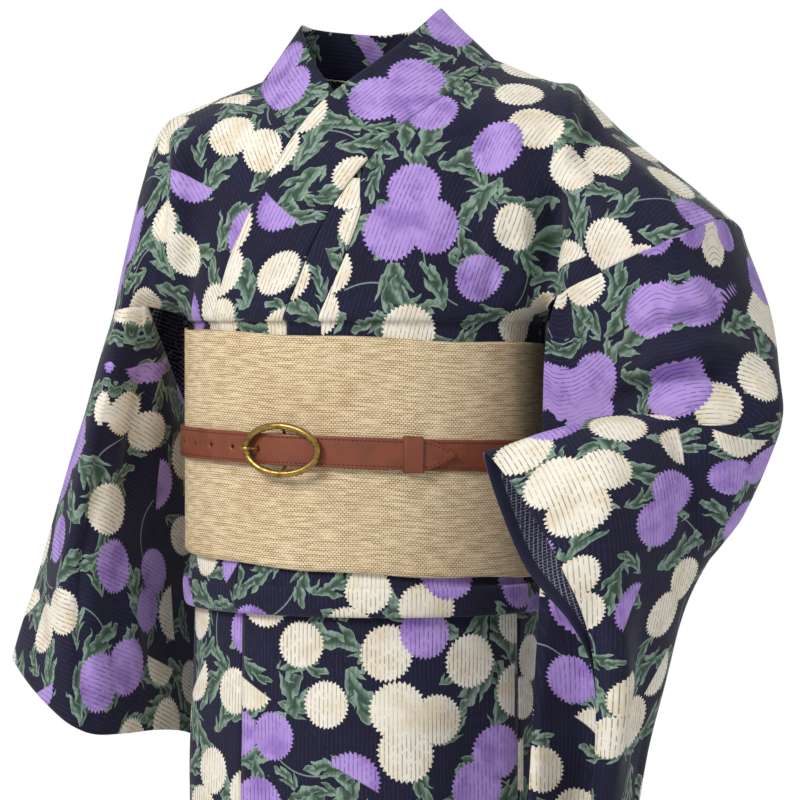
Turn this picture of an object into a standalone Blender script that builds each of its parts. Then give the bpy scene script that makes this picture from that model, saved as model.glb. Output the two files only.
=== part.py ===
"""A cotton yukata robe in its worn form, with its wound sash and a leather belt.

Metres, +Z up, +X to the wearer's left, -Y to the front. The origin is at the base of the neck,
on the shoulder line, where the robe rests on its wearer.
"""

from collections import namedtuple

import bmesh
import bpy
import numpy as np

# Driving sizes
WALL = 0.0016
COLLAR_WALL = 0.0020
LAYER = 0.0040
WAIST_HALF_WIDTH = 0.1455
WAIST_HALF_DEPTH = 0.1160
PUFF = 0.006
WAIST_Z = -0.184
TUCKED_BY = 0.07
BODICE_END_Z = -0.300
BAG_HALF = 0.006
CUFF_SEAM_HALF = 0.0021
HEM_Z = -1.28
SKIRT_TOP_Z = -0.345
SKIRT_PITCH = 0.0030
FOLD_TOP_Z = BODICE_END_Z - 0.0004
FOLD_FOOT_Z = -0.414
OBI_WALL = 0.0020
OBI_PITCH = 0.0027
OBI_HALF_TURN = 200
OBI_TOP_Z = -0.199
OBI_BOTTOM_Z = -0.377
STRAP_WIDTH = 0.024
STRAP_WALL = 0.0026
BELT_Z = -0.287
BUCKLE_WIDTH = 0.060
BUCKLE_HEIGHT = 0.042
BUCKLE_WIRE = 0.0027
PRONG_RADIUS = 0.0012
HOLE_RADIUS = 0.0019
BUCKLE_ANGLE = -12
TIP_ANGLE = 39
KEEPER_ANGLE = 26
HOLE_ANGLES = (-20, -30, -40, -50, -60)
TIP_TAPER = 7
KEEPER_LENGTH = 0.014
KEEPER_WALL = 0.0015
BAR_RADIUS = 0.0013
BAR_LIFT = 0.0028

# One section of a body length, from the neck (across 0) to the armhole (across 1). The angles say
# where it enters the sash, round the body: 0 is the front, 90 the wearer's left.
Section = namedtuple("Section", "across front_angle front_low front_high ridge back_high back_low back_angle")

LEFT_BODY = (
    Section(0.00, -13, (0.001, -0.115, -0.104), (0.044, -0.095, -0.045), (0.104, 0.000, 0.018),
            (0.0004, 0.088, -0.004), (0.0004, 0.112, -0.100), 179.8),
    Section(0.25, 16, (0.075, -0.114, -0.110), (0.108, -0.085, -0.040), (0.140, 0.000, 0.004),
            (0.102, 0.080, -0.026), (0.075, 0.108, -0.110), 150),
    Section(0.50, 38, (0.120, -0.102, -0.118), (0.152, -0.082, -0.045), (0.175, -0.003, -0.010),
            (0.155, 0.072, -0.045), (0.125, 0.094, -0.115), 126),
    Section(0.68, 56, (0.158, -0.074, -0.135), (0.180, -0.084, -0.074), (0.213, -0.010, -0.045),
            (0.190, 0.062, -0.078), (0.158, 0.066, -0.135), 111),
    Section(0.85, 72, (0.180, -0.086, -0.152), (0.222, -0.102, -0.098), (0.256, -0.021, -0.078),
            (0.240, 0.052, -0.106), (0.184, 0.060, -0.152), 100),
    Section(1.00, 84, (0.172, -0.080, -0.168), (0.262, -0.112, -0.128), (0.297, -0.032, -0.110),
            (0.285, 0.044, -0.135), (0.176, 0.045, -0.168), 92),
)
RIGHT_BODY = (
    Section(0.00, 24, (0.010, -0.115, -0.110), (-0.037, -0.088, -0.045), (-0.085, 0.000, 0.006),
            (-0.0004, 0.088, -0.004), (-0.0004, 0.112, -0.100), -179.8),
    Section(0.25, -8, (-0.045, -0.114, -0.110), (-0.085, -0.085, -0.045), (-0.115, 0.000, -0.004),
            (-0.084, 0.082, -0.030), (-0.062, 0.109, -0.110), -152),
    Section(0.50, -32, (-0.090, -0.108, -0.118), (-0.120, -0.080, -0.052), (-0.145, 0.000, -0.016),
            (-0.124, 0.074, -0.050), (-0.104, 0.101, -0.118), -133),
    Section(0.68, -54, (-0.136, -0.078, -0.128), (-0.150, -0.072, -0.066), (-0.172, 0.000, -0.032),
            (-0.154, 0.066, -0.070), (-0.138, 0.080, -0.128), -117),
    Section(0.85, -70, (-0.152, -0.070, -0.154), (-0.168, -0.066, -0.112), (-0.192, 0.002, -0.092),
            (-0.176, 0.062, -0.116), (-0.156, 0.070, -0.154), -104),
    Section(1.00, -84, (-0.168, -0.050, -0.176), (-0.190, -0.058, -0.178), (-0.214, 0.004, -0.180),
            (-0.200, 0.052, -0.178), (-0.168, 0.048, -0.176), -94),
)
SECTION_DOWN = (-1.0, -0.72, -0.33, 0.0, 0.33, 0.72, 1.0)
DOWN = (0.0, 0.07, 0.15, 0.23, 0.30, 0.38, 0.47, 0.56, 0.65, 0.72, 0.82, 0.92, 1.0)
TUCK = (1.035, 1 + TUCKED_BY, 1.4, 2.0)
ACROSS = (0.003, 0.06, 0.12, 0.18, 0.25, 0.33, 0.42, 0.50, 0.57, 0.63, 0.68, 0.74, 0.80, 0.87, 0.94, 1.0)

# One section of a sleeve, from the armhole (across 0) to the cuff (across 1): two points on its
# front sheet, its top fold, two points on its back sheet, then where both hang and the bottom seam.
Bag = namedtuple("Bag", "across front_low front_high top back_high back_low hang bottom")

LEFT_SLEEVE = (
    Bag(0.00, (0.172, -0.080, -0.168), (0.262, -0.112, -0.128), (0.297, -0.032, -0.110),
        (0.285, 0.044, -0.135), (0.176, 0.045, -0.168), (0.155, -0.048, -0.370), (0.148, -0.070, -0.590)),
    Bag(0.30, (0.203, -0.072, -0.320), (0.266, -0.116, -0.205), (0.321, -0.045, -0.185),
        (0.318, 0.012, -0.235), (0.236, 0.010, -0.350), (0.198, -0.052, -0.540), (0.184, -0.062, -0.750)),
    Bag(0.52, (0.226, -0.084, -0.400), (0.274, -0.108, -0.285), (0.334, -0.085, -0.262),
        (0.311, -0.058, -0.330), (0.260, -0.066, -0.415), (0.219, -0.078, -0.620), (0.206, -0.080, -0.860)),
    Bag(0.76, (0.220, -0.092, -0.420), (0.222, -0.078, -0.300), (0.225, -0.128, -0.258),
        (0.240, -0.176, -0.322), (0.240, -0.146, -0.440), (0.216, -0.120, -0.640), (0.202, -0.115, -0.880)),
    Bag(1.00, (0.214, -0.146, -0.455), (0.152, -0.114, -0.368), (0.132, -0.150, -0.285),
        (0.194, -0.180, -0.362), (0.216, -0.152, -0.457), (0.202, -0.146, -0.660), (0.190, -0.138, -0.890)),
)
RIGHT_SLEEVE = (
    Bag(0.00, (-0.168, -0.050, -0.176), (-0.190, -0.058, -0.178), (-0.214, 0.004, -0.180),
        (-0.200, 0.052, -0.178), (-0.168, 0.048, -0.176), (-0.150, 0.130, -0.330), (0.020, 0.225, -0.480)),
    Bag(0.40, (-0.180, 0.010, -0.320), (-0.214, -0.072, -0.320), (-0.254, -0.004, -0.310),
        (-0.236, 0.052, -0.312), (-0.190, 0.070, -0.322), (-0.140, 0.165, -0.460), (-0.040, 0.235, -0.620)),
    Bag(0.75, (-0.176, 0.035, -0.434), (-0.216, -0.078, -0.424), (-0.279, -0.014, -0.400),
        (-0.256, 0.044, -0.412), (-0.192, 0.084, -0.435), (-0.150, 0.180, -0.580), (-0.110, 0.235, -0.750)),
    Bag(1.00, (-0.162, 0.068, -0.540), (-0.216, -0.074, -0.514), (-0.297, -0.020, -0.462),
        (-0.262, 0.048, -0.485), (-0.166, 0.074, -0.542), (-0.160, 0.165, -0.690), (-0.165, 0.220, -0.850)),
)
BAG_DOWN = (-1.0, -0.68, -0.38, -0.15, 0.0, 0.15, 0.38, 0.68, 1.0)
ARMHOLE_END = 0.38

# The neck-side edge of the collar: down is the station along the matching body section.
CollarEdge = namedtuple("CollarEdge", "down point")

LEFT_COLLAR = (
    CollarEdge(0.00, (0.060, 0.000, 0.060)),
    CollarEdge(0.15, (0.037, -0.046, 0.028)),
    CollarEdge(0.33, (-0.010, -0.073, -0.012)),
    CollarEdge(0.50, (-0.032, -0.090, -0.042)),
    CollarEdge(0.72, (-0.062, -0.108, -0.098)),
    CollarEdge(0.85, (-0.084, -0.106, -0.145)),
)
LEFT_COLLAR_ANGLE = -41
RIGHT_COLLAR = (
    CollarEdge(0.00, (-0.055, 0.000, 0.050)),
    CollarEdge(0.15, (-0.036, -0.040, 0.022)),
    CollarEdge(0.33, (-0.004, -0.068, -0.014)),
    CollarEdge(0.50, (0.022, -0.088, -0.044)),
    CollarEdge(0.72, (0.064, -0.104, -0.100)),
    CollarEdge(0.85, (0.088, -0.104, -0.145)),
)
RIGHT_COLLAR_ANGLE = 47
NAPE = (0.0, 0.062, 0.046)
COLLAR_FRACTIONS = np.linspace(0, 1, 5)

# How far forward the chest stands at each height
Chest = namedtuple("Chest", "z depth half_width roundness")
CHEST = (Chest(WAIST_Z, WAIST_HALF_DEPTH + PUFF, WAIST_HALF_WIDTH + PUFF, 2.0), Chest(-0.14, 0.119, 0.160, 2.1),
         Chest(-0.10, 0.113, 0.168, 2.3), Chest(-0.06, 0.100, 0.168, 2.3), Chest(-0.03, 0.085, 0.168, 2.3),
         Chest(0.0, 0.066, 0.168, 2.3), Chest(0.02, 0.055, 0.168, 2.3))
MIDDLE_GAP = 0.0003
LEFT_ARMHOLE_GAP = 0.0024
RIGHT_ARMHOLE_GAP = 0.0008

# The skirt's oval at each height
Oval = namedtuple("Oval", "z half_width half_depth")
SKIRT = (Oval(HEM_Z, 0.1310, 0.1090), Oval(-1.05, 0.1350, 0.1120), Oval(-0.80, 0.1400, 0.1160),
         Oval(-0.56, 0.1425, 0.1180), Oval(-0.46, 0.1418, 0.1140), Oval(-0.42, 0.1411, 0.1116),
         Oval(SKIRT_TOP_Z, 0.1411, 0.1116))

# The wrapped panels from the inside out, each between two seam angles
Wrap = namedtuple("Wrap", "name start end")
SKIRT_PANELS = (
    Wrap("skirt_overlap_right", 456, 388),
    Wrap("skirt_front_right", 388, 288),
    Wrap("skirt_back_right", 288, 180),
    Wrap("skirt_back_left", 180, 70),
    Wrap("skirt_front_left", 70, -32),
    Wrap("skirt_overlap_left", -32, -100),
)
FOLD_PANELS = (
    Wrap("fold_back_right", 259.6, 180),
    Wrap("fold_back_left", 180, 70),
    Wrap("fold_front_left", 70, -32),
    Wrap("fold_overlap_left", -32, -100),
)
SEAM_ANGLE = 0.12
STEP_ANGLE = 9

# Soft folds of the skirt: angle round the body, depth, half width in degrees, top and foot
Fold = namedtuple("Fold", "angle depth width top foot")
SKIRT_FOLDS = (
    Fold(-62, 0.005, 9, -0.44, -1.10),
    Fold(-20, -0.004, 10, -0.46, -1.20),
    Fold(22, 0.005, 12, -0.46, -1.15),
    Fold(48, -0.006, 9, -0.44, -1.20),
    Fold(120, 0.005, 12, -0.44, -1.10),
    Fold(150, -0.005, 11, -0.50, -1.20),
    Fold(205, 0.005, 12, -0.44, -1.15),
    Fold(236, -0.004, 10, -0.46, -1.20),
)
# Hanging waves of the sleeves: how many across, how deep, and where they start down the drop
Wave = namedtuple("Wave", "count depth phase start")
LEFT_WAVE = Wave(2.5, 0.012, 0.4, 0.35)
RIGHT_WAVE = Wave(2.0, 0.010, 1.2, 0.35)


def curve_through(values, places, at):
    """Smooth curve through rows of values, which stand at places, read at the positions in at."""
    values = np.asarray(values, float)
    slopes = np.gradient(values, axis=0)
    last = len(values) - 1
    place = np.interp(at, places, np.arange(last + 1))
    index = np.clip(place.astype(int), 0, last - 1)
    f = (place - index)[..., None]
    start, end = values[index], values[index + 1]
    turn = slopes[index] * f * (1 - f) ** 2 - slopes[index + 1] * f**2 * (1 - f)
    return start * (1 + 2 * f) * (1 - f) ** 2 + end * f**2 * (3 - 2 * f) + turn


def soft_step(low, high, value):
    f = np.clip((np.asarray(value, float) - low) / (high - low), 0, 1)
    return f * f * (3 - 2 * f)


def read(table, column, z):
    """One column of a table at a height."""
    return np.interp(z, [row.z for row in table], [getattr(row, column) for row in table])


def waist_point(angle, out, z):
    """Point on the waist's oval, moved out from the body cloth."""
    a = np.radians(angle)
    x = (WAIST_HALF_WIDTH + out) * np.sin(a)
    y = -(WAIST_HALF_DEPTH + out) * np.cos(a)
    return np.stack(np.broadcast_arrays(x, y, z), axis=-1)


def tucked(angle, layer, down):
    """Point of the body cloth that goes in behind the sash, for down from 1 to 2."""
    out = PUFF * (1 - soft_step(0, TUCKED_BY, down - 1)) - layer
    return waist_point(angle, out, WAIST_Z + (BODICE_END_Z - WAIST_Z) * (down - 1))


def chest_front(x, z):
    """How far forward the chest cloth stands."""
    roundness = read(CHEST, "roundness", z)
    left_over = np.clip(1 - np.abs(x / read(CHEST, "half_width", z)) ** roundness, 0.02, 1)
    return read(CHEST, "depth", z) * left_over ** (1 / roundness)


def laid_on_chest(points, layer):
    """Points pulled onto the chest, so that what crosses there keeps its layers apart."""
    x, y, z = points[..., 0], points[..., 1], points[..., 2]
    hold = soft_step(-0.015, -0.055, z) * soft_step(0.135, 0.105, np.abs(x)) * soft_step(-0.02, -0.05, y)
    laid = points.copy()
    laid[..., 1] = y * (1 - hold) - (chest_front(x, z) - layer) * hold
    return laid


def body_point(table, across, down, layer):
    """Point of a body length: across from the neck to the armhole, down from -2 in the sash at the
    front, through 0 on the shoulder, to 2 in the sash at the back."""
    places = [row.across for row in table]
    row = Section(across, *(curve_through([np.atleast_1d(r[i]) for r in table], places, np.array(across))
                            for i in range(1, 8)))
    angle = row.front_angle[0] if down < 0 else row.back_angle[0]
    if abs(down) > 1:
        return tucked(angle, layer, abs(down))
    ends = [tucked(row.front_angle[0], layer, 1.0), tucked(row.back_angle[0], layer, 1.0)]
    line = [ends[0], row.front_low, row.front_high, row.ridge, row.back_high, row.back_low, ends[1]]
    point = laid_on_chest(curve_through(line, SECTION_DOWN, np.array(down)), layer)
    if down > 0.2:
        side = np.sign(table[-1].ridge[0])
        point[0] = side * max(side * point[0], MIDDLE_GAP + 0.02 * across)
    return point


def material(name, color, roughness, metallic=0.0):
    made = bpy.data.materials.new(name)
    made.use_nodes = True
    shader = made.node_tree.nodes["Principled BSDF"]
    shader.inputs["Base Color"].default_value = (*color, 1)
    shader.inputs["Roughness"].default_value = roughness
    shader.inputs["Metallic"].default_value = metallic
    made.diffuse_color = (*color, 1)
    return made


def cotton(name):
    return material("cotton_" + name, (0.012, 0.012, 0.045), 0.85)


def link(obj, look):
    obj.data.materials.append(look)
    parts.objects.link(obj)
    return obj


def grid_mesh(name, grid, closed=False):
    """Open surface over a grid of points, its last column joined to its first when closed."""
    rows, columns = grid.shape[:2]
    faces = []
    for i in range(rows - 1):
        for j in range(columns if closed else columns - 1):
            k = (j + 1) % columns
            faces.append((i * columns + j, (i + 1) * columns + j, (i + 1) * columns + k, i * columns + k))
    mesh = bpy.data.meshes.new(name)
    mesh.from_pydata(grid.reshape(-1, 3).tolist(), [], faces)
    mesh.update()
    mesh.shade_smooth()
    return mesh


def cloth(name, grid, wall, look, closed=False, flip=False):
    """A cloth wall: the grid is its outer side, and Solidify makes it thick inwards."""
    mesh = grid_mesh(name, np.asarray(grid), closed)
    if flip:
        mesh.flip_normals()
    obj = bpy.data.objects.new(name, mesh)
    solidify = obj.modifiers.new("wall", "SOLIDIFY")
    solidify.thickness = wall
    solidify.offset = -1
    return link(obj, look)


def armhole_edge(table, down, layer, gap):
    """Outer edge of a body length, just short of the armhole seam."""
    edge = body_point(table, 1.0, down, layer)
    back_in = body_point(table, 0.95, down, layer) - edge
    return edge + back_in * gap / np.linalg.norm(back_in)


def overlap_seam(down):
    """How far across the left front the overlap panel reaches."""
    return 0.09 * float(soft_step(0.46, 0.80, -down))


def make_bodice(name, table, layer, gap, with_overlap):
    """One body length, front and back in one."""
    down = [-place for place in TUCK[::-1] + DOWN[:0:-1]] + list(DOWN + TUCK)
    grid = []
    for place in down:
        start = overlap_seam(place) + 0.0018 if with_overlap and place < -0.46 else 0.0
        spread = (np.array(ACROSS) - ACROSS[0]) / (ACROSS[-1] - ACROSS[0])
        first = ACROSS[0] + start
        row = [body_point(table, first + f * (ACROSS[-1] - first), place, layer) for f in spread[:-1]]
        grid.append(row + [armhole_edge(table, place, layer, gap)])
    return cloth(name, grid, WALL, cotton(name), flip=with_overlap)


def make_overlap_upper():
    """The upper end of the left overlap panel, between the collar and the front panel."""
    name = "overlap_left_upper"
    down = [-place for place in (DOWN + TUCK)[::-1] if place > 0.5]
    grid = [[body_point(LEFT_BODY, across, place, 0.0)
             for across in np.linspace(ACROSS[0], ACROSS[0] + overlap_seam(place), 4)] for place in down]
    return cloth(name, grid, WALL, cotton(name), flip=True)


def collar_rows(edges, angle, table, layer, down):
    """Rows of the collar at the front, from its neck edge to its seam."""
    places = [row.down for row in edges] + [1.0]
    points = [row.point for row in edges] + [tucked(angle, layer, 1.0)]
    seam_angle = table[0].front_angle
    rows = []
    for place in down:
        if place > 1:
            rows.append([tucked(angle + (seam_angle - angle) * f, layer, place) for f in COLLAR_FRACTIONS])
            continue
        edge = curve_through(points, places, np.array(place))
        seam = body_point(table, 0.0, -place, layer)
        row = np.array([edge + (seam - edge) * f for f in COLLAR_FRACTIONS])
        rows.append(laid_on_chest(row, layer))
    return rows


def nape_rows(edge, table, layer, turn):
    """Rows of the collar from the side of the neck towards the nape, turn from 0 to 1."""
    rows = []
    side, back = np.array(edge), np.array(NAPE)
    for f in turn:
        swing = f * np.pi / 2
        inner = np.array([side[0] * np.cos(swing), back[1] * np.sin(swing), side[2] + (back[2] - side[2]) * f])
        seam = body_point(table, 0.0, 0.33 * f, layer)
        rows.append([inner + (seam - inner) * g for g in COLLAR_FRACTIONS])
    return rows


def make_collar():
    """One band: up the left front, round the nape and down the right front, left over right."""
    front = (DOWN + TUCK)[::-1]
    turn = [place / 0.33 for place in DOWN if 0 < place < 0.33]
    rows = collar_rows(LEFT_COLLAR, LEFT_COLLAR_ANGLE, LEFT_BODY, 0.0, front)
    rows += nape_rows(LEFT_COLLAR[0].point, LEFT_BODY, 0.0, turn)
    rows += nape_rows(RIGHT_COLLAR[0].point, RIGHT_BODY, LAYER, turn)[::-1]
    rows += collar_rows(RIGHT_COLLAR, RIGHT_COLLAR_ANGLE, RIGHT_BODY, LAYER, front)[::-1]
    return cloth("collar", rows, COLLAR_WALL, cotton("collar"), flip=True)


def bag_point(table, across, down, wave):
    """Point of a sleeve: down from -1 on the front sheet's foot, through 0 on the fold, to 1."""
    places = [row.across for row in table]
    row = Bag(across, *(curve_through([r[i] for r in table], places, np.array(across)) for i in range(1, 8)))
    line = [row.bottom, row.hang, row.front_low, row.front_high, row.top,
            row.back_high, row.back_low, row.hang, row.bottom]
    point = curve_through(line, BAG_DOWN, np.array(down))
    outward = row.front_low - row.back_low
    outward = outward / max(np.linalg.norm(outward), 1e-6)
    far = abs(down)
    shut = float(soft_step(0.90, 1.0, across))
    half = BAG_HALF * (1 - shut) + CUFF_SEAM_HALF * shut
    half *= float(soft_step(0.20, 0.45, far)) * np.sqrt(max(1 - far**16, 0))
    swing = wave.depth * np.sin(2 * np.pi * wave.count * across + wave.phase) * float(soft_step(wave.start, 1, far))
    return point + outward * (half if down < 0 else -half) + outward * swing


def make_sleeve(name, table, body, layer, wave, flip):
    """A flat bag hung on the arm, fitted to the armhole where it is sewn to the body."""
    sewn = np.interp([place for place in DOWN if place <= 0.72], (0, 0.33, 0.72), (0, 0.15, ARMHOLE_END))
    down = np.concatenate([sewn, (0.45, 0.53, 0.62, 0.71, 0.80, 0.89, 0.955, 0.988)])
    loop = np.concatenate([down, [1.0], -down[:0:-1]])
    across = np.array([0.0, 0.06, 0.14, 0.22, 0.31, 0.40, 0.47, 0.53, 0.60, 0.69, 0.78, 0.87, 0.94, 1.0])
    grid = []
    for place in across:
        hold = float(soft_step(0.25, 0.0, place))
        row = []
        for station in loop:
            point = bag_point(table, place, station, wave)
            if hold > 0 and abs(station) <= ARMHOLE_END:
                on_body = np.interp(abs(station), (0, 0.15, ARMHOLE_END), (0, 0.33, 0.72)) * np.sign(station)
                point = point + hold * (body_point(body, 1.0, on_body, layer) - bag_point(table, 0.0, station, wave))
            row.append(point)
        grid.append(row)
    return cloth(name, grid, WALL, cotton(name), closed=True, flip=flip)


def make_fold_panel(panel):
    """A stretch of the tuck below the sash: down from inside it, round its foot and back up."""
    foot = FOLD_FOOT_Z
    profile = ((0.0, FOLD_TOP_Z), (-0.0002, -0.384), (0.0042, -0.391), (0.0050, -0.399),
               (0.0036, foot + 0.003), (0.0008, foot), (-0.0022, foot + 0.002), (-0.0038, foot + 0.008),
               (-0.0038, -0.366))
    angles = steps(panel)
    grid = [[waist_point(angle, out, z) for out, z in profile] for angle in angles]
    return cloth(panel.name, grid, WALL, cotton(panel.name), flip=False)


def steps(panel):
    """Angles along a wrapped panel, clear of its seams."""
    start, end = panel.start - SEAM_ANGLE, panel.end + SEAM_ANGLE
    inner = np.arange(np.floor(start / STEP_ANGLE), np.ceil(end / STEP_ANGLE) - 1, -1) * STEP_ANGLE
    inner = inner[(inner < start - 2) & (inner > end + 2)]
    return np.concatenate([[start], inner, [end]])


def skirt_point(angle, z):
    """Outer side of the wrapped skirt: each turn lies outside the one before."""
    out = -SKIRT_PITCH * (angle - SKIRT_PANELS[-1].end) / 360
    shown = (angle + 100) % 360 - 100
    for fold in SKIRT_FOLDS:
        reach = soft_step(fold.top, fold.top - 0.08, z) * soft_step(fold.foot - 0.10, fold.foot, z)
        out = out + fold.depth * reach * np.exp(-(((shown - fold.angle) / fold.width) ** 2))
    a = np.radians(angle)
    x = (read(SKIRT, "half_width", z) + out) * np.sin(a)
    y = -(read(SKIRT, "half_depth", z) + out) * np.cos(a)
    return np.array([x, y, z])


def make_skirt_panel(panel):
    heights = np.concatenate([np.linspace(SKIRT_TOP_Z, -0.56, 5), np.linspace(-0.68, HEM_Z, 6)])
    grid = [[skirt_point(angle, z) for z in heights] for angle in steps(panel)]
    return cloth(panel.name, grid, WALL, cotton(panel.name))


def obi_out(angle):
    """Outer side of the sash, from its inner end at the back to its outer end a turn later."""
    return OBI_WALL + 0.0004 + OBI_PITCH * (angle + OBI_HALF_TURN) / (2 * OBI_HALF_TURN)


def make_obi():
    angles = np.linspace(-OBI_HALF_TURN, OBI_HALF_TURN, 61)
    grid = []
    for angle in angles:
        side, front = np.sin(np.radians(angle)), np.cos(np.radians(angle))
        top = OBI_TOP_Z - 0.006 * side
        bottom = OBI_BOTTOM_Z - 0.008 * side - 0.002 * front
        grid.append([waist_point(angle, obi_out(angle), top + (bottom - top) * f) for f in (0, 0.5, 1)])
    return cloth("obi", grid, OBI_WALL, material("sash_weave", (0.55, 0.36, 0.17), 0.8), flip=True)


def belt_seat(angle):
    """Outer side of whatever sash layer the belt lies on."""
    behind = (angle + 180) % 360 - 180
    step = OBI_PITCH * float(soft_step(-120, -156, behind))
    return obi_out(behind) + step


def belt_z(angle):
    return BELT_Z - 0.005 * np.sin(np.radians(angle))


def strap_out(angle):
    """Outer side of the strap: it starts under the buckle and ends in the tip on top of itself."""
    lap = float(soft_step(BUCKLE_ANGLE + 280, BUCKLE_ANGLE + 345, angle))
    over_bar = np.exp(-(((angle - 360 - BUCKLE_ANGLE) / 9) ** 2)) * BAR_LIFT
    return belt_seat(angle) + 0.0004 + STRAP_WALL + lap * (STRAP_WALL + 0.0006) + over_bar


def make_strap(leather):
    """One strap a little over a turn long, with a pointed tip and its row of holes."""
    first, last = BUCKLE_ANGLE + 1.2, 360 + TIP_ANGLE
    angles = np.concatenate([np.linspace(first, 330, 44), np.linspace(334, last, 26)])
    grid = []
    for angle in angles:
        to_tip = (last - angle) / TIP_TAPER
        half = STRAP_WIDTH / 2 * np.sqrt(np.clip(1 - np.clip(1 - to_tip, 0, 1) ** 2, 0.02, 1))
        grid.append([waist_point(angle, strap_out(angle), belt_z(angle) + half * f) for f in (1, 0.33, -0.33, -1)])
    strap = cloth("belt_strap", grid, STRAP_WALL, leather, flip=True)
    for i, angle in enumerate(HOLE_ANGLES):
        drill = round_bar("hole_%d" % i, [waist_point(angle + 360, strap_out(angle + 360) + reach, belt_z(angle))
                                          for reach in (-STRAP_WALL - 0.0004, 0.004)], HOLE_RADIUS, None, 3)
        move_to_cutters(drill)
        cut = strap.modifiers.new("hole_%d" % i, "BOOLEAN")
        cut.operation = "DIFFERENCE"
        cut.object = drill
    return strap


def make_keeper(leather):
    """Flat loop round both layers of the strap."""
    low = belt_seat(KEEPER_ANGLE) + 0.0002
    high = strap_out(KEEPER_ANGLE + 360) + 0.0004 + KEEPER_WALL
    reach = STRAP_WIDTH / 2 + 0.0006 + KEEPER_WALL
    half_turn = np.degrees(KEEPER_LENGTH / 2 / WAIST_HALF_DEPTH)
    outline = ((low + 0.001, reach), (high - 0.0012, reach), (high, reach - 0.0015), (high, 0), (high, 0.0015 - reach),
               (high - 0.0012, -reach), (low + 0.001, -reach))
    grid = []
    for angle in np.linspace(KEEPER_ANGLE - half_turn, KEEPER_ANGLE + half_turn, 4):
        grid.append([waist_point(angle, out, belt_z(angle) + z) for out, z in outline])
    return cloth("belt_keeper", grid, KEEPER_WALL, leather, flip=True)


def round_bar(name, points, radius, look, resolution=2, cyclic=False):
    """A round rod along a line of points, as a mesh."""
    curve = bpy.data.curves.new(name, "CURVE")
    curve.dimensions = "3D"
    curve.bevel_depth = radius
    curve.bevel_resolution = resolution
    curve.use_fill_caps = not cyclic
    line = curve.splines.new("POLY")
    line.points.add(len(points) - 1)
    for spot, point in zip(line.points, points):
        spot.co = (*point, 1)
    line.use_cyclic_u = cyclic
    guide = bpy.data.objects.new(name + "_guide", curve)
    parts.objects.link(guide)
    mesh = bpy.data.meshes.new_from_object(guide.evaluated_get(bpy.context.evaluated_depsgraph_get()))
    bpy.data.objects.remove(guide)
    shape = bmesh.new()
    shape.from_mesh(mesh)
    bmesh.ops.remove_doubles(shape, verts=shape.verts, dist=1e-6)
    bmesh.ops.recalc_face_normals(shape, faces=shape.faces)
    shape.to_mesh(mesh)
    shape.free()
    mesh.shade_smooth()
    mesh.name = name
    obj = bpy.data.objects.new(name, mesh)
    if look:
        mesh.materials.append(look)
    parts.objects.link(obj)
    return obj


def move_to_cutters(obj):
    parts.objects.unlink(obj)
    cutters.objects.link(obj)
    obj.hide_render = True
    obj.display_type = "WIRE"


def rim_out(angle):
    """Height of the buckle's rim over the strap that passes under it."""
    return strap_out(angle + 360) + 0.0004 + BUCKLE_WIRE


def buckle_point(across, up, out):
    """Point by distance across and up from the buckle's centre, and out from the waist."""
    angle = BUCKLE_ANGLE + np.degrees(across / (WAIST_HALF_DEPTH + 0.026))
    return waist_point(angle, out, belt_z(angle) + up)


def make_buckle(brass):
    """Oval ring with a bar across its middle, which lies between the strap's two layers."""
    rim = rim_out(BUCKLE_ANGLE) - 0.0008
    turns = np.linspace(0, 2 * np.pi, 33)[:-1]
    half_width = BUCKLE_WIDTH / 2 - BUCKLE_WIRE
    half_height = BUCKLE_HEIGHT / 2 - BUCKLE_WIRE
    ring = round_bar("buckle_frame", [buckle_point(half_width * np.cos(t), half_height * np.sin(t), rim)
                                      for t in turns], BUCKLE_WIRE, brass, 2, True)
    bar_out = strap_out(BUCKLE_ANGLE + 360) - STRAP_WALL - 0.0004 - BAR_RADIUS
    clear = STRAP_WIDTH / 2 + 0.0008 + BAR_RADIUS
    bar = round_bar("buckle_bar", [buckle_point(0, up, out) for up, out in (
        (half_height, rim), (clear, bar_out), (-clear, bar_out), (-half_height, rim))], BAR_RADIUS, None, 2)
    move_to_cutters(bar)
    join = ring.modifiers.new("bar", "BOOLEAN")
    join.operation = "UNION"
    join.object = bar
    return ring


def make_prong(brass):
    """Tongue of the buckle: from beside the bar up through its hole and over the rim."""
    hole = HOLE_ANGLES[0]
    under = STRAP_WALL + 0.0004 + PRONG_RADIUS
    over = rim_out(BUCKLE_ANGLE) - 0.0008 + BUCKLE_WIRE + 0.0003 + PRONG_RADIUS
    rim_angle = BUCKLE_ANGLE - np.degrees((BUCKLE_WIDTH / 2 - BUCKLE_WIRE) / (WAIST_HALF_DEPTH + 0.026))
    beside_bar = BUCKLE_ANGLE - 1.6
    stations = ((beside_bar, strap_out(beside_bar + 360) - under), (hole, strap_out(hole + 360) - under),
                (hole, strap_out(hole + 360) + 0.0016),
                ((hole + rim_angle) / 2, over), (rim_angle, over), (rim_angle - 1.4, over - 0.0004))
    return round_bar("buckle_prong", [waist_point(angle, out, belt_z(angle)) for angle, out in stations],
                     PRONG_RADIUS, brass, 2)


def make_belt():
    leather = material("belt_leather", (0.30, 0.075, 0.028), 0.5)
    brass = material("buckle_brass", (0.30, 0.20, 0.07), 0.4, 1.0)
    make_strap(leather)
    make_keeper(leather)
    make_buckle(brass)
    make_prong(brass)


parts = bpy.data.collections.new("yukata")
cutters = bpy.data.collections.new("cutters")


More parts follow.
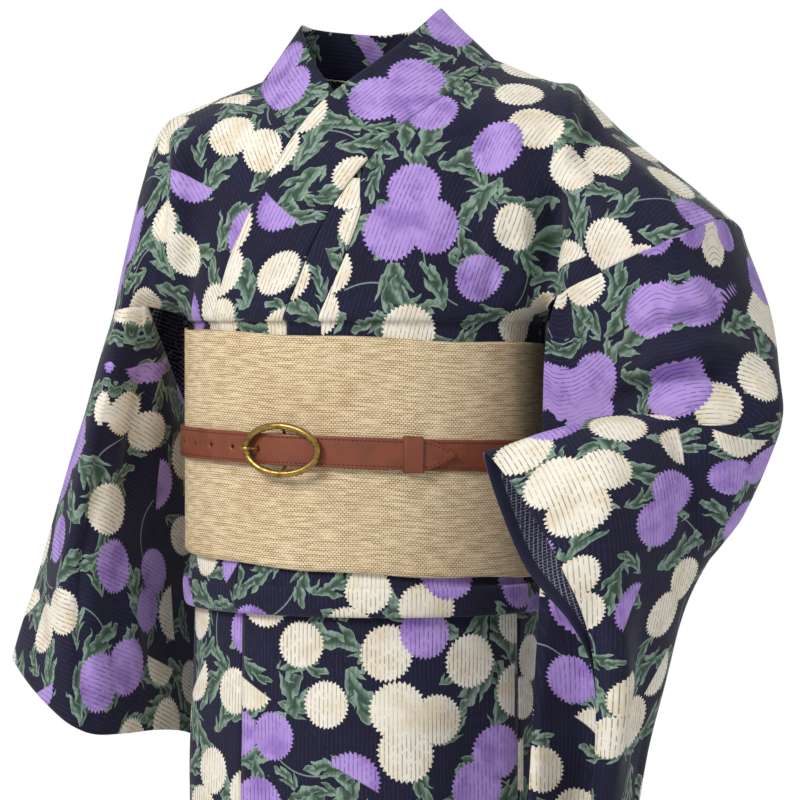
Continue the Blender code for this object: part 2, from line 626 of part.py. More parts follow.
def main():
    for old in list(bpy.data.objects):
        bpy.data.objects.remove(old)
    bpy.context.scene.collection.children.link(parts)
    bpy.context.scene.collection.children.link(cutters)
    cutters.hide_render = True
    make_bodice("bodice_left", LEFT_BODY, 0.0, LEFT_ARMHOLE_GAP, True)
    make_bodice("bodice_right", RIGHT_BODY, LAYER, RIGHT_ARMHOLE_GAP, False)
    make_overlap_upper()
    make_collar()
    make_sleeve("sleeve_left", LEFT_SLEEVE, LEFT_BODY, 0.0, LEFT_WAVE, False)
    make_sleeve("sleeve_right", RIGHT_SLEEVE, RIGHT_BODY, LAYER, RIGHT_WAVE, True)
    for panel in FOLD_PANELS:
        make_fold_panel(panel)
    for panel in SKIRT_PANELS:
        make_skirt_panel(panel)
    make_obi()
    make_belt()


main()
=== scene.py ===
"""Looks of the cotton yukata robe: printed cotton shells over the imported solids, woven sash, leather belt.

Metres, +Z up, +X to the wearer's left, -Y to the front.
"""

import math
from collections import namedtuple

import bmesh
import bpy
import numpy as np
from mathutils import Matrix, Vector, noise


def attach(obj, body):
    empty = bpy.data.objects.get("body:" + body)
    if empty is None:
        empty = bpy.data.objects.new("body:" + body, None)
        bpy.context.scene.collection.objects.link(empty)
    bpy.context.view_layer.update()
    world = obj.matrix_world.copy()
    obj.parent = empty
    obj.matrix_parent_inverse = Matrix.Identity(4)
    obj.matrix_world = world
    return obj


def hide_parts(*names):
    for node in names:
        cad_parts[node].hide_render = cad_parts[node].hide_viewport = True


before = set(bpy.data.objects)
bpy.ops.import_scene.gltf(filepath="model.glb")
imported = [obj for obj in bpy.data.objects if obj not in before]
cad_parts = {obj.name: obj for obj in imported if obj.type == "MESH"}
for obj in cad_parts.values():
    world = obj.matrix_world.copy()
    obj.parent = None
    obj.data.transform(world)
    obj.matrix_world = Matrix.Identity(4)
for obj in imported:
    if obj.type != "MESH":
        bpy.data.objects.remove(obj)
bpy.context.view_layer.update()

# Driving sizes, the same as the solids'
LAYER = 0.0040
WAIST_HALF_WIDTH = 0.1455
WAIST_HALF_DEPTH = 0.1160
PUFF = 0.006
WAIST_Z = -0.184
TUCKED_BY = 0.07
BODICE_END_Z = -0.300
BAG_HALF = 0.006
CUFF_SEAM_HALF = 0.0021
HEM_Z = -1.28
SKIRT_TOP_Z = -0.345
SKIRT_PITCH = 0.0030
FOLD_TOP_Z = BODICE_END_Z - 0.0004
FOLD_FOOT_Z = -0.414
OBI_WALL = 0.0020
OBI_PITCH = 0.0027
OBI_HALF_TURN = 200
OBI_TOP_Z = -0.199
OBI_BOTTOM_Z = -0.377
STRAP_WIDTH = 0.024
STRAP_WALL = 0.0026
BELT_Z = -0.287
BUCKLE_WIDTH = 0.060
BUCKLE_HEIGHT = 0.042
BUCKLE_WIRE = 0.0027
PRONG_RADIUS = 0.0012
HOLE_RADIUS = 0.0019
BUCKLE_ANGLE = -12
TIP_ANGLE = 39
KEEPER_ANGLE = 26
HOLE_ANGLES = (-20, -30, -40, -50, -60)
KEEPER_WALL = 0.0015
BAR_RADIUS = 0.0013
BAR_LIFT = 0.0028

# Looks. The strap's point is longer and the keeper narrower than in the solids, as in the photo
TIP_TAPER = 11
KEEPER_LENGTH = 0.0112
SHELL = 0.0012
CLOTH_STEP = 0.0045
PRINT_TILE = (0.27, 0.36)
BLOSSOM_RADIUS = 0.0215
BLOSSOM_TEETH = 34
TOOTH_DEPTH = 0.11
BLOSSOM_STEP = 0.033
BLOSSOM_ROOM = 2.0
BLOSSOM_TURN = 1.15
LAY_TRIES = 1200
STEM_RADIUS = 0.026
PRINT_SEED = 11
STEM_COUNT = 7
LEAF_SPACING = 0.043
LEAF_HALF_LENGTH = 0.0265
LEAF_SLIMNESS = 0.50
LEAF_OFFSETS = ((0.0, 0.0), (0.513, 0.221))
RIB_SPACING = 0.0034
CHECK_SPACING = 0.0028
CUFF_HEM = 0.009
HEM_MARK_REACH = 0.05
SASH_PICK = 0.0017
SASH_CELL = 0.0030
FLATTEN_ROUNDS = 900
FLATTEN_STEP = 0.11
CREASE_STRENGTH = 2.1
STITCH_PITCH = 0.0034
STITCH_RADIUS = 0.00042

# Blossoms that grow together: c cream and p purple, h and H the same seen from the side
BLOSSOM_GROUPS = ("ccc", "pp", "ccc", "cc", "cp", "pp", "cc", "ppp", "cc", "cp",
                  "c", "c", "p", "c", "p", "c", "c", "p", "h", "H", "h", "h", "H")

# Colours as seen, in sRGB steps of 255
NAVY = (23, 23, 50)
NAVY_RIB = (52, 52, 92)
CREAM = (243, 237, 222)
CREAM_SHADE = (232, 219, 194)
PURPLE = (182, 152, 224)
PURPLE_SHADE = (152, 120, 198)
LEAF_DARK = (50, 72, 56)
LEAF_MID = (88, 114, 98)
LEAF_EDGE = (138, 162, 146)
STEM = (142, 158, 154)
REVERSE_LIGHT = (150, 154, 172)
SASH_LIGHT = (248, 230, 192)
SASH_MID = (222, 190, 142)
# Painted shade for the gaps between the sash's woven cells
SASH_GAP_SHADE = (124, 88, 52)
SASH_WARM = (200, 148, 100)
LEATHER = (132, 68, 44)
LEATHER_DARK = (92, 46, 30)
THREAD = (92, 32, 26)
BRASS = (176, 146, 84)
BRASS_DARK = (92, 72, 36)
FLOOR = (232, 232, 234)

# The camera: azimuth of its side, distance, height, the point it aims at, and its lens
CAMERA_AZIMUTH = 15
CAMERA_DISTANCE = 2.4
CAMERA_Z = -0.196
AIM_ACROSS = 0.026
AIM_Z = -0.2505
LENS = 135
AMBIENT = 0.46

Section = namedtuple("Section", "across front_angle front_low front_high ridge back_high back_low back_angle")

LEFT_BODY = (
    Section(0.00, -13, (0.001, -0.115, -0.104), (0.044, -0.095, -0.045), (0.104, 0.000, 0.018),
            (0.0004, 0.088, -0.004), (0.0004, 0.112, -0.100), 179.8),
    Section(0.25, 16, (0.075, -0.114, -0.110), (0.108, -0.085, -0.040), (0.140, 0.000, 0.004),
            (0.102, 0.080, -0.026), (0.075, 0.108, -0.110), 150),
    Section(0.50, 38, (0.120, -0.102, -0.118), (0.152, -0.082, -0.045), (0.175, -0.003, -0.010),
            (0.155, 0.072, -0.045), (0.125, 0.094, -0.115), 126),
    Section(0.68, 56, (0.158, -0.074, -0.135), (0.180, -0.084, -0.074), (0.213, -0.010, -0.045),
            (0.190, 0.062, -0.078), (0.158, 0.066, -0.135), 111),
    Section(0.85, 72, (0.180, -0.086, -0.152), (0.222, -0.102, -0.098), (0.256, -0.021, -0.078),
            (0.240, 0.052, -0.106), (0.184, 0.060, -0.152), 100),
    Section(1.00, 84, (0.172, -0.080, -0.168), (0.262, -0.112, -0.128), (0.297, -0.032, -0.110),
            (0.285, 0.044, -0.135), (0.176, 0.045, -0.168), 92),
)
RIGHT_BODY = (
    Section(0.00, 24, (0.010, -0.115, -0.110), (-0.037, -0.088, -0.045), (-0.085, 0.000, 0.006),
            (-0.0004, 0.088, -0.004), (-0.0004, 0.112, -0.100), -179.8),
    Section(0.25, -8, (-0.045, -0.114, -0.110), (-0.085, -0.085, -0.045), (-0.115, 0.000, -0.004),
            (-0.084, 0.082, -0.030), (-0.062, 0.109, -0.110), -152),
    Section(0.50, -32, (-0.090, -0.108, -0.118), (-0.120, -0.080, -0.052), (-0.145, 0.000, -0.016),
            (-0.124, 0.074, -0.050), (-0.104, 0.101, -0.118), -133),
    Section(0.68, -54, (-0.136, -0.078, -0.128), (-0.150, -0.072, -0.066), (-0.172, 0.000, -0.032),
            (-0.154, 0.066, -0.070), (-0.138, 0.080, -0.128), -117),
    Section(0.85, -70, (-0.152, -0.070, -0.154), (-0.168, -0.066, -0.112), (-0.192, 0.002, -0.092),
            (-0.176, 0.062, -0.116), (-0.156, 0.070, -0.154), -104),
    Section(1.00, -84, (-0.168, -0.050, -0.176), (-0.190, -0.058, -0.178), (-0.214, 0.004, -0.180),
            (-0.200, 0.052, -0.178), (-0.168, 0.048, -0.176), -94),
)
SECTION_DOWN = (-1.0, -0.72, -0.33, 0.0, 0.33, 0.72, 1.0)
DOWN = (0.0, 0.07, 0.15, 0.23, 0.30, 0.38, 0.47, 0.56, 0.65, 0.72, 0.82, 0.92, 1.0)
TUCK = (1.035, 1 + TUCKED_BY, 1.4, 2.0)
ACROSS = (0.003, 0.06, 0.12, 0.18, 0.25, 0.33, 0.42, 0.50, 0.57, 0.63, 0.68, 0.74, 0.80, 0.87, 0.94, 1.0)

Bag = namedtuple("Bag", "across front_low front_high top back_high back_low hang bottom")

LEFT_SLEEVE = (
    Bag(0.00, (0.172, -0.080, -0.168), (0.262, -0.112, -0.128), (0.297, -0.032, -0.110),
        (0.285, 0.044, -0.135), (0.176, 0.045, -0.168), (0.155, -0.048, -0.370), (0.148, -0.070, -0.590)),
    Bag(0.30, (0.203, -0.072, -0.320), (0.266, -0.116, -0.205), (0.321, -0.045, -0.185),
        (0.318, 0.012, -0.235), (0.236, 0.010, -0.350), (0.198, -0.052, -0.540), (0.184, -0.062, -0.750)),
    Bag(0.52, (0.226, -0.084, -0.400), (0.274, -0.108, -0.285), (0.334, -0.085, -0.262),
        (0.311, -0.058, -0.330), (0.260, -0.066, -0.415), (0.219, -0.078, -0.620), (0.206, -0.080, -0.860)),
    Bag(0.76, (0.220, -0.092, -0.420), (0.222, -0.078, -0.300), (0.225, -0.128, -0.258),
        (0.240, -0.176, -0.322), (0.240, -0.146, -0.440), (0.216, -0.120, -0.640), (0.202, -0.115, -0.880)),
    Bag(1.00, (0.214, -0.146, -0.455), (0.152, -0.114, -0.368), (0.132, -0.150, -0.285),
        (0.194, -0.180, -0.362), (0.216, -0.152, -0.457), (0.202, -0.146, -0.660), (0.190, -0.138, -0.890)),
)
RIGHT_SLEEVE = (
    Bag(0.00, (-0.168, -0.050, -0.176), (-0.190, -0.058, -0.178), (-0.214, 0.004, -0.180),
        (-0.200, 0.052, -0.178), (-0.168, 0.048, -0.176), (-0.150, 0.130, -0.330), (0.020, 0.225, -0.480)),
    Bag(0.40, (-0.180, 0.010, -0.320), (-0.214, -0.072, -0.320), (-0.254, -0.004, -0.310),
        (-0.236, 0.052, -0.312), (-0.190, 0.070, -0.322), (-0.140, 0.165, -0.460), (-0.040, 0.235, -0.620)),
    Bag(0.75, (-0.176, 0.035, -0.434), (-0.216, -0.078, -0.424), (-0.279, -0.014, -0.400),
        (-0.256, 0.044, -0.412), (-0.192, 0.084, -0.435), (-0.150, 0.180, -0.580), (-0.110, 0.235, -0.750)),
    Bag(1.00, (-0.162, 0.068, -0.540), (-0.216, -0.074, -0.514), (-0.297, -0.020, -0.462),
        (-0.262, 0.048, -0.485), (-0.166, 0.074, -0.542), (-0.160, 0.165, -0.690), (-0.165, 0.220, -0.850)),
)
BAG_DOWN = (-1.0, -0.68, -0.38, -0.15, 0.0, 0.15, 0.38, 0.68, 1.0)
ARMHOLE_END = 0.38

CollarEdge = namedtuple("CollarEdge", "down point")

LEFT_COLLAR = (
    CollarEdge(0.00, (0.060, 0.000, 0.060)),
    CollarEdge(0.15, (0.037, -0.046, 0.028)),
    CollarEdge(0.33, (-0.010, -0.073, -0.012)),
    CollarEdge(0.50, (-0.032, -0.090, -0.042)),
    CollarEdge(0.72, (-0.062, -0.108, -0.098)),
    CollarEdge(0.85, (-0.084, -0.106, -0.145)),
)
LEFT_COLLAR_ANGLE = -41
RIGHT_COLLAR = (
    CollarEdge(0.00, (-0.055, 0.000, 0.050)),
    CollarEdge(0.15, (-0.036, -0.040, 0.022)),
    CollarEdge(0.33, (-0.004, -0.068, -0.014)),
    CollarEdge(0.50, (0.022, -0.088, -0.044)),
    CollarEdge(0.72, (0.064, -0.104, -0.100)),
    CollarEdge(0.85, (0.088, -0.104, -0.145)),
)
RIGHT_COLLAR_ANGLE = 47
NAPE = (0.0, 0.062, 0.046)
COLLAR_FRACTIONS = np.linspace(0, 1, 5)

Chest = namedtuple("Chest", "z depth half_width roundness")
CHEST = (Chest(WAIST_Z, WAIST_HALF_DEPTH + PUFF, WAIST_HALF_WIDTH + PUFF, 2.0),
         Chest(-0.14, 0.119, 0.160, 2.1), Chest(-0.10, 0.113, 0.168, 2.3), Chest(-0.06, 0.100, 0.168, 2.3),
         Chest(-0.03, 0.085, 0.168, 2.3), Chest(0.0, 0.066, 0.168, 2.3), Chest(0.02, 0.055, 0.168, 2.3))
MIDDLE_GAP = 0.0003

Oval = namedtuple("Oval", "z half_width half_depth")
SKIRT = (Oval(HEM_Z, 0.1310, 0.1090), Oval(-1.05, 0.1350, 0.1120), Oval(-0.80, 0.1400, 0.1160),
         Oval(-0.56, 0.1425, 0.1180), Oval(-0.46, 0.1418, 0.1140), Oval(-0.42, 0.1411, 0.1116),
         Oval(SKIRT_TOP_Z, 0.1411, 0.1116))

Wrap = namedtuple("Wrap", "name start end")
SKIRT_PANELS = (
    Wrap("skirt_overlap_right", 456, 388),
    Wrap("skirt_front_right", 388, 288),
    Wrap("skirt_back_right", 288, 180),
    Wrap("skirt_back_left", 180, 70),
    Wrap("skirt_front_left", 70, -32),
    Wrap("skirt_overlap_left", -32, -100),
)
FOLD_PANELS = (
    Wrap("fold_back_right", 259.6, 180),
    Wrap("fold_back_left", 180, 70),
    Wrap("fold_front_left", 70, -32),
    Wrap("fold_overlap_left", -32, -100),
)
SEAM_ANGLE = 0.12
STEP_ANGLE = 9

Fold = namedtuple("Fold", "angle depth width top foot")
SKIRT_FOLDS = (
    Fold(-62, 0.005, 9, -0.44, -1.10),
    Fold(-20, -0.004, 10, -0.46, -1.20),
    Fold(22, 0.005, 12, -0.46, -1.15),
    Fold(48, -0.006, 9, -0.44, -1.20),
    Fold(120, 0.005, 12, -0.44, -1.10),
    Fold(150, -0.005, 11, -0.50, -1.20),
    Fold(205, 0.005, 12, -0.44, -1.15),
    Fold(236, -0.004, 10, -0.46, -1.20),
)
Wave = namedtuple("Wave", "count depth phase start")
LEFT_WAVE = Wave(2.5, 0.012, 0.4, 0.35)
RIGHT_WAVE = Wave(2.0, 0.010, 1.2, 0.35)

# Where each cut piece lies on the bolt, in metres across and along it
Lay = namedtuple("Lay", "name across along")
LAYS = {lay.name: lay for lay in (
    Lay("bodice_left", 0.020, 0.090), Lay("bodice_right", 0.140, 0.210),
    Lay("overlap_left_upper", 0.105, 0.300), Lay("collar", 0.200, 0.050),
    Lay("sleeve_left", 0.060, 0.130), Lay("sleeve_right", 0.000, 0.240),
    Lay("fold_back_right", 0.110, 0.020), Lay("fold_back_left", 0.240, 0.060),
    Lay("fold_front_left", 0.030, 0.160), Lay("fold_overlap_left", 0.190, 0.280),
    Lay("skirt_overlap_right", 0.050, 0.110), Lay("skirt_front_right", 0.130, 0.000),
    Lay("skirt_back_right", 0.090, 0.180), Lay("skirt_back_left", 0.220, 0.310),
    Lay("skirt_front_left", 0.170, 0.250), Lay("skirt_overlap_left", 0.080, 0.040),
)}

# Creases as seen from an azimuth: millimetres to the right of the neck and below the shoulder line. A depth
# over 0 is a ridge and one under 0 a trough. Each runs along its path and fades at both ends.
Crease = namedtuple("Crease", "depth width path")
Creased = namedtuple("Creased", "pieces azimuth creases")
CREASED = (
    Creased(("bodice_left", "sleeve_left"), 15, (
        Crease(5.0, 9, ((162, -5), (160, 20), (158, 45), (155, 72))),
        Crease(-6.0, 8, ((150, 74), (147, 102), (143, 140), (144, 172))),
        Crease(3.0, 9, ((185, 35), (205, 60), (235, 88), (262, 118))),
        Crease(-3.0, 8, ((172, 55), (190, 85), (222, 118), (245, 150))),
        Crease(-2.5, 7, ((160, 120), (180, 150), (205, 176))),
    )),
    Creased(("bodice_left",), 15, (
        Crease(2.5, 7, ((128, 70), (122, 105), (124, 150), (116, 188))),
        Crease(-2.0, 6, ((108, 120), (100, 150), (98, 186))),
    )),
    Creased(("sleeve_left",), 15, (
        Crease(-7.0, 9, ((196, 252), (214, 244), (242, 232), (276, 226), (300, 238))),
        Crease(4.0, 9, ((200, 236), (232, 220), (270, 208), (302, 214))),
        Crease(-3.5, 8, ((206, 205), (236, 192), (268, 186), (292, 190))),
        Crease(3.0, 8, ((250, 150), (268, 175), (284, 200))),
        Crease(-3.0, 10, ((222, 262), (250, 280), (262, 320), (258, 366))),
        Crease(3.0, 12, ((272, 262), (290, 300), (286, 340), (266, 380))),
        Crease(-3.5, 12, ((222, 400), (226, 450), (220, 510), (214, 590))),
        Crease(3.0, 10, ((200, 430), (204, 480), (198, 560))),
    )),
    Creased(("bodice_right", "sleeve_right"), 15, (
        Crease(-6.0, 8, ((-166, 26), (-167, 60), (-168, 96), (-168, 122))),
        Crease(3.5, 9, ((-150, 30), (-150, 70), (-154, 110), (-152, 150))),
    )),
    Creased(("bodice_right",), 15, (
        Crease(-2.5, 7, ((-140, 110), (-143, 140), (-146, 172))),
    )),
    Creased(("sleeve_right",), 15, (
        Crease(-4.0, 8, ((-210, 263), (-211, 283), (-220, 331), (-231, 381), (-233, 418), (-230, 454),
                      (-221, 507))),
        Crease(2.5, 8, ((-218, 300), (-228, 345), (-240, 390), (-246, 430))),
        Crease(-2.5, 7, ((-176, 210), (-180, 250), (-190, 300), (-192, 340))),
        Crease(-2.0, 8, ((-262, 380), (-268, 420), (-262, 460))),
        Crease(2.5, 9, ((-186, 380), (-190, 430), (-186, 490))),
    )),
    Creased(("bodice_left", "bodice_right"), 195, (
        Crease(-4.0, 9, ((-118, 40), (-112, 80), (-106, 130), (-100, 180))),
        Crease(-4.0, 9, ((112, 50), (108, 90), (100, 140), (96, 180))),
        Crease(3.0, 12, ((-70, 90), (-66, 130), (-60, 184))),
        Crease(3.0, 12, ((60, 80), (62, 130), (54, 184))),
    )),
    Creased(("sleeve_left",), 195, (
        Crease(-4.0, 10, ((-290, 150), (-280, 200), (-262, 260), (-250, 330))),
        Crease(4.0, 12, ((-240, 190), (-230, 260), (-232, 340), (-236, 430))),
    )),
    Creased(("sleeve_right",), 195, (
        Crease(-7.0, 14, ((150, 170), (120, 240), (70, 320), (30, 400), (20, 470))),
        Crease(7.0, 14, ((185, 180), (170, 260), (130, 350), (90, 440), (80, 540))),
        Crease(-6.0, 13, ((205, 220), (200, 300), (180, 390), (150, 480), (140, 600))),
        Crease(5.0, 12, ((225, 260), (228, 330), (215, 400), (190, 470), (175, 560))),
    )),
)


def curve_through(values, places, at):
    """Smooth curve through rows of values, which stand at places, read at the positions in at."""
    values = np.asarray(values, float)
    slopes = np.gradient(values, axis=0)
    last = len(values) - 1
    place = np.interp(at, places, np.arange(last + 1))
    index = np.clip(place.astype(int), 0, last - 1)
    f = place - index
    f = f.reshape(f.shape + (1,) * (values.ndim - 1))
    start, end = values[index], values[index + 1]
    turn = slopes[index] * f * (1 - f) ** 2 - slopes[index + 1] * f**2 * (1 - f)
    return start * (1 + 2 * f) * (1 - f) ** 2 + end * f**2 * (3 - 2 * f) + turn


def soft_step(low, high, value):
    f = np.clip((np.asarray(value, float) - low) / (high - low), 0, 1)
    return f * f * (3 - 2 * f)


def read(table, column, z):
    """One column of a table at a height."""
    return np.interp(z, [row.z for row in table], [getattr(row, column) for row in table])


def waist_point(angle, out, z):
    a = np.radians(angle)
    x = (WAIST_HALF_WIDTH + out) * np.sin(a)
    y = -(WAIST_HALF_DEPTH + out) * np.cos(a)
    return np.stack(np.broadcast_arrays(x, y, z), axis=-1)


def tucked(angle, layer, down):
    out = PUFF * (1 - soft_step(0, TUCKED_BY, down - 1)) - layer
    return waist_point(angle, out, WAIST_Z + (BODICE_END_Z - WAIST_Z) * (down - 1))


def chest_front(x, z):
    roundness = read(CHEST, "roundness", z)
    left_over = np.clip(1 - np.abs(x / read(CHEST, "half_width", z)) ** roundness, 0.02, 1)
    return read(CHEST, "depth", z) * left_over ** (1 / roundness)


def laid_on_chest(points, layer):
    x, y, z = points[..., 0], points[..., 1], points[..., 2]
    hold = soft_step(-0.015, -0.055, z) * soft_step(0.135, 0.105, np.abs(x)) * soft_step(-0.02, -0.05, y)
    laid = points.copy()
    laid[..., 1] = y * (1 - hold) - (chest_front(x, z) - layer) * hold
    return laid


def body_point(table, across, down, layer):
    """Point of a body length, as in the solids."""
    places = [row.across for row in table]
    row = Section(across, *(curve_through([np.atleast_1d(r[i]) for r in table], places, np.array(across))
                            for i in range(1, 8)))
    angle = row.front_angle[0] if down < 0 else row.back_angle[0]
    if abs(down) > 1:
        return tucked(angle, layer, abs(down))
    ends = [tucked(row.front_angle[0], layer, 1.0), tucked(row.back_angle[0], layer, 1.0)]
    line = [ends[0], row.front_low, row.front_high, row.ridge, row.back_high, row.back_low, ends[1]]
    point = laid_on_chest(curve_through(line, SECTION_DOWN, np.array(down)), layer)
    if down > 0.2:
        side = np.sign(table[-1].ridge[0])
        point[0] = side * max(side * point[0], MIDDLE_GAP + 0.02 * across)
    return point


def overlap_seam(down):
    return 0.09 * float(soft_step(0.46, 0.80, -down))


def bodice_grid(table, layer, with_overlap):
    down = [-place for place in TUCK[::-1] + DOWN[:0:-1]] + list(DOWN + TUCK)
    grid = []
    for place in down:
        start = overlap_seam(place) + 0.0018 if with_overlap and place < -0.46 else 0.0
        spread = (np.array(ACROSS) - ACROSS[0]) / (ACROSS[-1] - ACROSS[0])
        first = ACROSS[0] + start
        grid.append([body_point(table, first + f * (ACROSS[-1] - first), place, layer) for f in spread])
    return np.array(grid)


def overlap_grid():
    down = [-place for place in (DOWN + TUCK)[::-1] if place > 0.5]
    ends = [(ACROSS[0], ACROSS[0] + overlap_seam(place)) for place in down]
    return np.array([[body_point(LEFT_BODY, across, place, 0.0) for across in np.linspace(start, end, 4)]
                     for place, (start, end) in zip(down, ends)])


def collar_rows(edges, angle, table, layer, down):
    places = [row.down for row in edges] + [1.0]
    points = [row.point for row in edges] + [tucked(angle, layer, 1.0)]
    seam_angle = table[0].front_angle
    rows = []
    for place in down:
        if place > 1:
            rows.append([tucked(angle + (seam_angle - angle) * f, layer, place) for f in COLLAR_FRACTIONS])
            continue
        edge = curve_through(points, places, np.array(place))
        seam = body_point(table, 0.0, -place, layer)
        row = np.array([edge + (seam - edge) * f for f in COLLAR_FRACTIONS])
        rows.append(laid_on_chest(row, layer))
    return rows


def nape_rows(edge, table, layer, turn):
    rows = []
    side, back = np.array(edge), np.array(NAPE)
    for f in turn:
        swing = f * np.pi / 2
        height = side[2] + (back[2] - side[2]) * f
        inner = np.array([side[0] * np.cos(swing), back[1] * np.sin(swing), height])
        seam = body_point(table, 0.0, 0.33 * f, layer)
        rows.append([inner + (seam - inner) * g for g in COLLAR_FRACTIONS])
    return rows


def collar_grid():
    front = (DOWN + TUCK)[::-1]
    turn = [place / 0.33 for place in DOWN if 0 < place < 0.33]
    rows = collar_rows(LEFT_COLLAR, LEFT_COLLAR_ANGLE, LEFT_BODY, 0.0, front)
    rows += nape_rows(LEFT_COLLAR[0].point, LEFT_BODY, 0.0, turn)
    rows += nape_rows(RIGHT_COLLAR[0].point, RIGHT_BODY, LAYER, turn)[::-1]
    rows += collar_rows(RIGHT_COLLAR, RIGHT_COLLAR_ANGLE, RIGHT_BODY, LAYER, front)[::-1]
    return np.array(rows)


def bag_point(table, across, down, wave):
    places = [row.across for row in table]
    row = Bag(across, *(curve_through([r[i] for r in table], places, np.array(across)) for i in range(1, 8)))
    line = [row.bottom, row.hang, row.front_low, row.front_high, row.top,
            row.back_high, row.back_low, row.hang, row.bottom]
    point = curve_through(line, BAG_DOWN, np.array(down))
    outward = row.front_low - row.back_low
    outward = outward / max(np.linalg.norm(outward), 1e-6)
    far = abs(down)
    shut = float(soft_step(0.90, 1.0, across))
    half = BAG_HALF * (1 - shut) + CUFF_SEAM_HALF * shut
    half *= float(soft_step(0.20, 0.45, far)) * np.sqrt(max(1 - far**16, 0))
    swing = wave.depth * np.sin(2 * np.pi * wave.count * across + wave.phase)
    swing *= float(soft_step(wave.start, 1, far))
    return point + outward * (half if down < 0 else -half) + outward * swing


def sleeve_grid(table, body, layer, wave):
    sewn = np.interp([place for place in DOWN if place <= 0.72], (0, 0.33, 0.72), (0, 0.15, ARMHOLE_END))
    down = np.concatenate([sewn, (0.45, 0.53, 0.62, 0.71, 0.80, 0.89, 0.955, 0.988)])
    loop = np.concatenate([[1.0], -down[::-1], down[1:]])
    across = np.array([0.0, 0.06, 0.14, 0.22, 0.31, 0.40, 0.47, 0.53, 0.60, 0.69, 0.78, 0.87, 0.94, 1.0])
    grid = []
    for place in across:
        hold = float(soft_step(0.25, 0.0, place))
        row = []
        for station in loop:
            point = bag_point(table, place, station, wave)
            if hold > 0 and abs(station) <= ARMHOLE_END:
                on_body = np.interp(abs(station), (0, 0.15, ARMHOLE_END), (0, 0.33, 0.72)) * np.sign(station)
                seam = body_point(body, 1.0, on_body, layer)
                point = point + hold * (seam - bag_point(table, 0.0, station, wave))
            row.append(point)
        grid.append(row)
    return np.array(grid)


def steps(panel):
    start, end = panel.start - SEAM_ANGLE, panel.end + SEAM_ANGLE
    inner = np.arange(np.floor(start / STEP_ANGLE), np.ceil(end / STEP_ANGLE) - 1, -1) * STEP_ANGLE
    inner = inner[(inner < start - 2) & (inner > end + 2)]
    return np.concatenate([[start], inner, [end]])


def fold_grid(panel):
    foot = FOLD_FOOT_Z
    profile = ((0.0, FOLD_TOP_Z), (-0.0002, -0.384), (0.0042, -0.391), (0.0050, -0.399),
               (0.0036, foot + 0.003), (0.0008, foot), (-0.0022, foot + 0.002), (-0.0038, foot + 0.008),
               (-0.0038, -0.366))
    return np.array([[waist_point(angle, out, z) for out, z in profile] for angle in steps(panel)])


def skirt_point(angle, z):
    out = -SKIRT_PITCH * (angle - SKIRT_PANELS[-1].end) / 360
    shown = (angle + 100) % 360 - 100
    for fold in SKIRT_FOLDS:
        reach = soft_step(fold.top, fold.top - 0.08, z) * soft_step(fold.foot - 0.10, fold.foot, z)
        out = out + fold.depth * reach * np.exp(-(((shown - fold.angle) / fold.width) ** 2))
    a = np.radians(angle)
    x = (read(SKIRT, "half_width", z) + out) * np.sin(a)
    y = -(read(SKIRT, "half_depth", z) + out) * np.cos(a)
    return np.array([x, y, z])


def skirt_grid(panel):
    heights = np.concatenate([np.linspace(SKIRT_TOP_Z, -0.56, 5), np.linspace(-0.68, HEM_Z, 6)])
    return np.array([[skirt_point(angle, z) for z in heights] for angle in steps(panel)])


def obi_out(angle):
    return OBI_WALL + 0.0004 + OBI_PITCH * (angle + OBI_HALF_TURN) / (2 * OBI_HALF_TURN)


def belt_seat(angle):
    behind = (angle + 180) % 360 - 180
    step = OBI_PITCH * float(soft_step(-120, -156, behind))
    return obi_out(behind) + step


def belt_z(angle):
    return BELT_Z - 0.005 * np.sin(np.radians(angle))


def strap_out(angle):
    lap = float(soft_step(BUCKLE_ANGLE + 280, BUCKLE_ANGLE + 345, angle))
    over_bar = np.exp(-(((angle - 360 - BUCKLE_ANGLE) / 9) ** 2)) * BAR_LIFT
    return belt_seat(angle) + 0.0004 + STRAP_WALL + lap * (STRAP_WALL + 0.0006) + over_bar


# Shells: finer grids through the same points, with creases and their place on the bolt

def refined(grid, step, closed=False):
    """A finer grid on the same smooth surface, with cells about a step wide, and where its lines lie."""
    def stations(points):
        lengths = np.linalg.norm(np.diff(points, axis=0), axis=2).max(axis=1)
        counts = np.maximum(1, np.ceil(lengths / step).astype(int))
        return np.concatenate([np.arange(n) / n + i for i, n in enumerate(counts)] + [[len(counts)]])

    rows = stations(grid)
    turned = curve_through(grid, np.arange(len(grid)), rows).transpose(1, 0, 2)
    before = 3 if closed else 0
    if closed:
        turned = np.concatenate([turned[-before:], turned, turned[:before + 1]])
    columns = stations(turned)
    columns = columns[(columns >= before) & (columns <= len(turned) - 1 - before)]
    turned = curve_through(turned, np.arange(len(turned)), columns)
    return turned.transpose(1, 0, 2), rows, columns - before


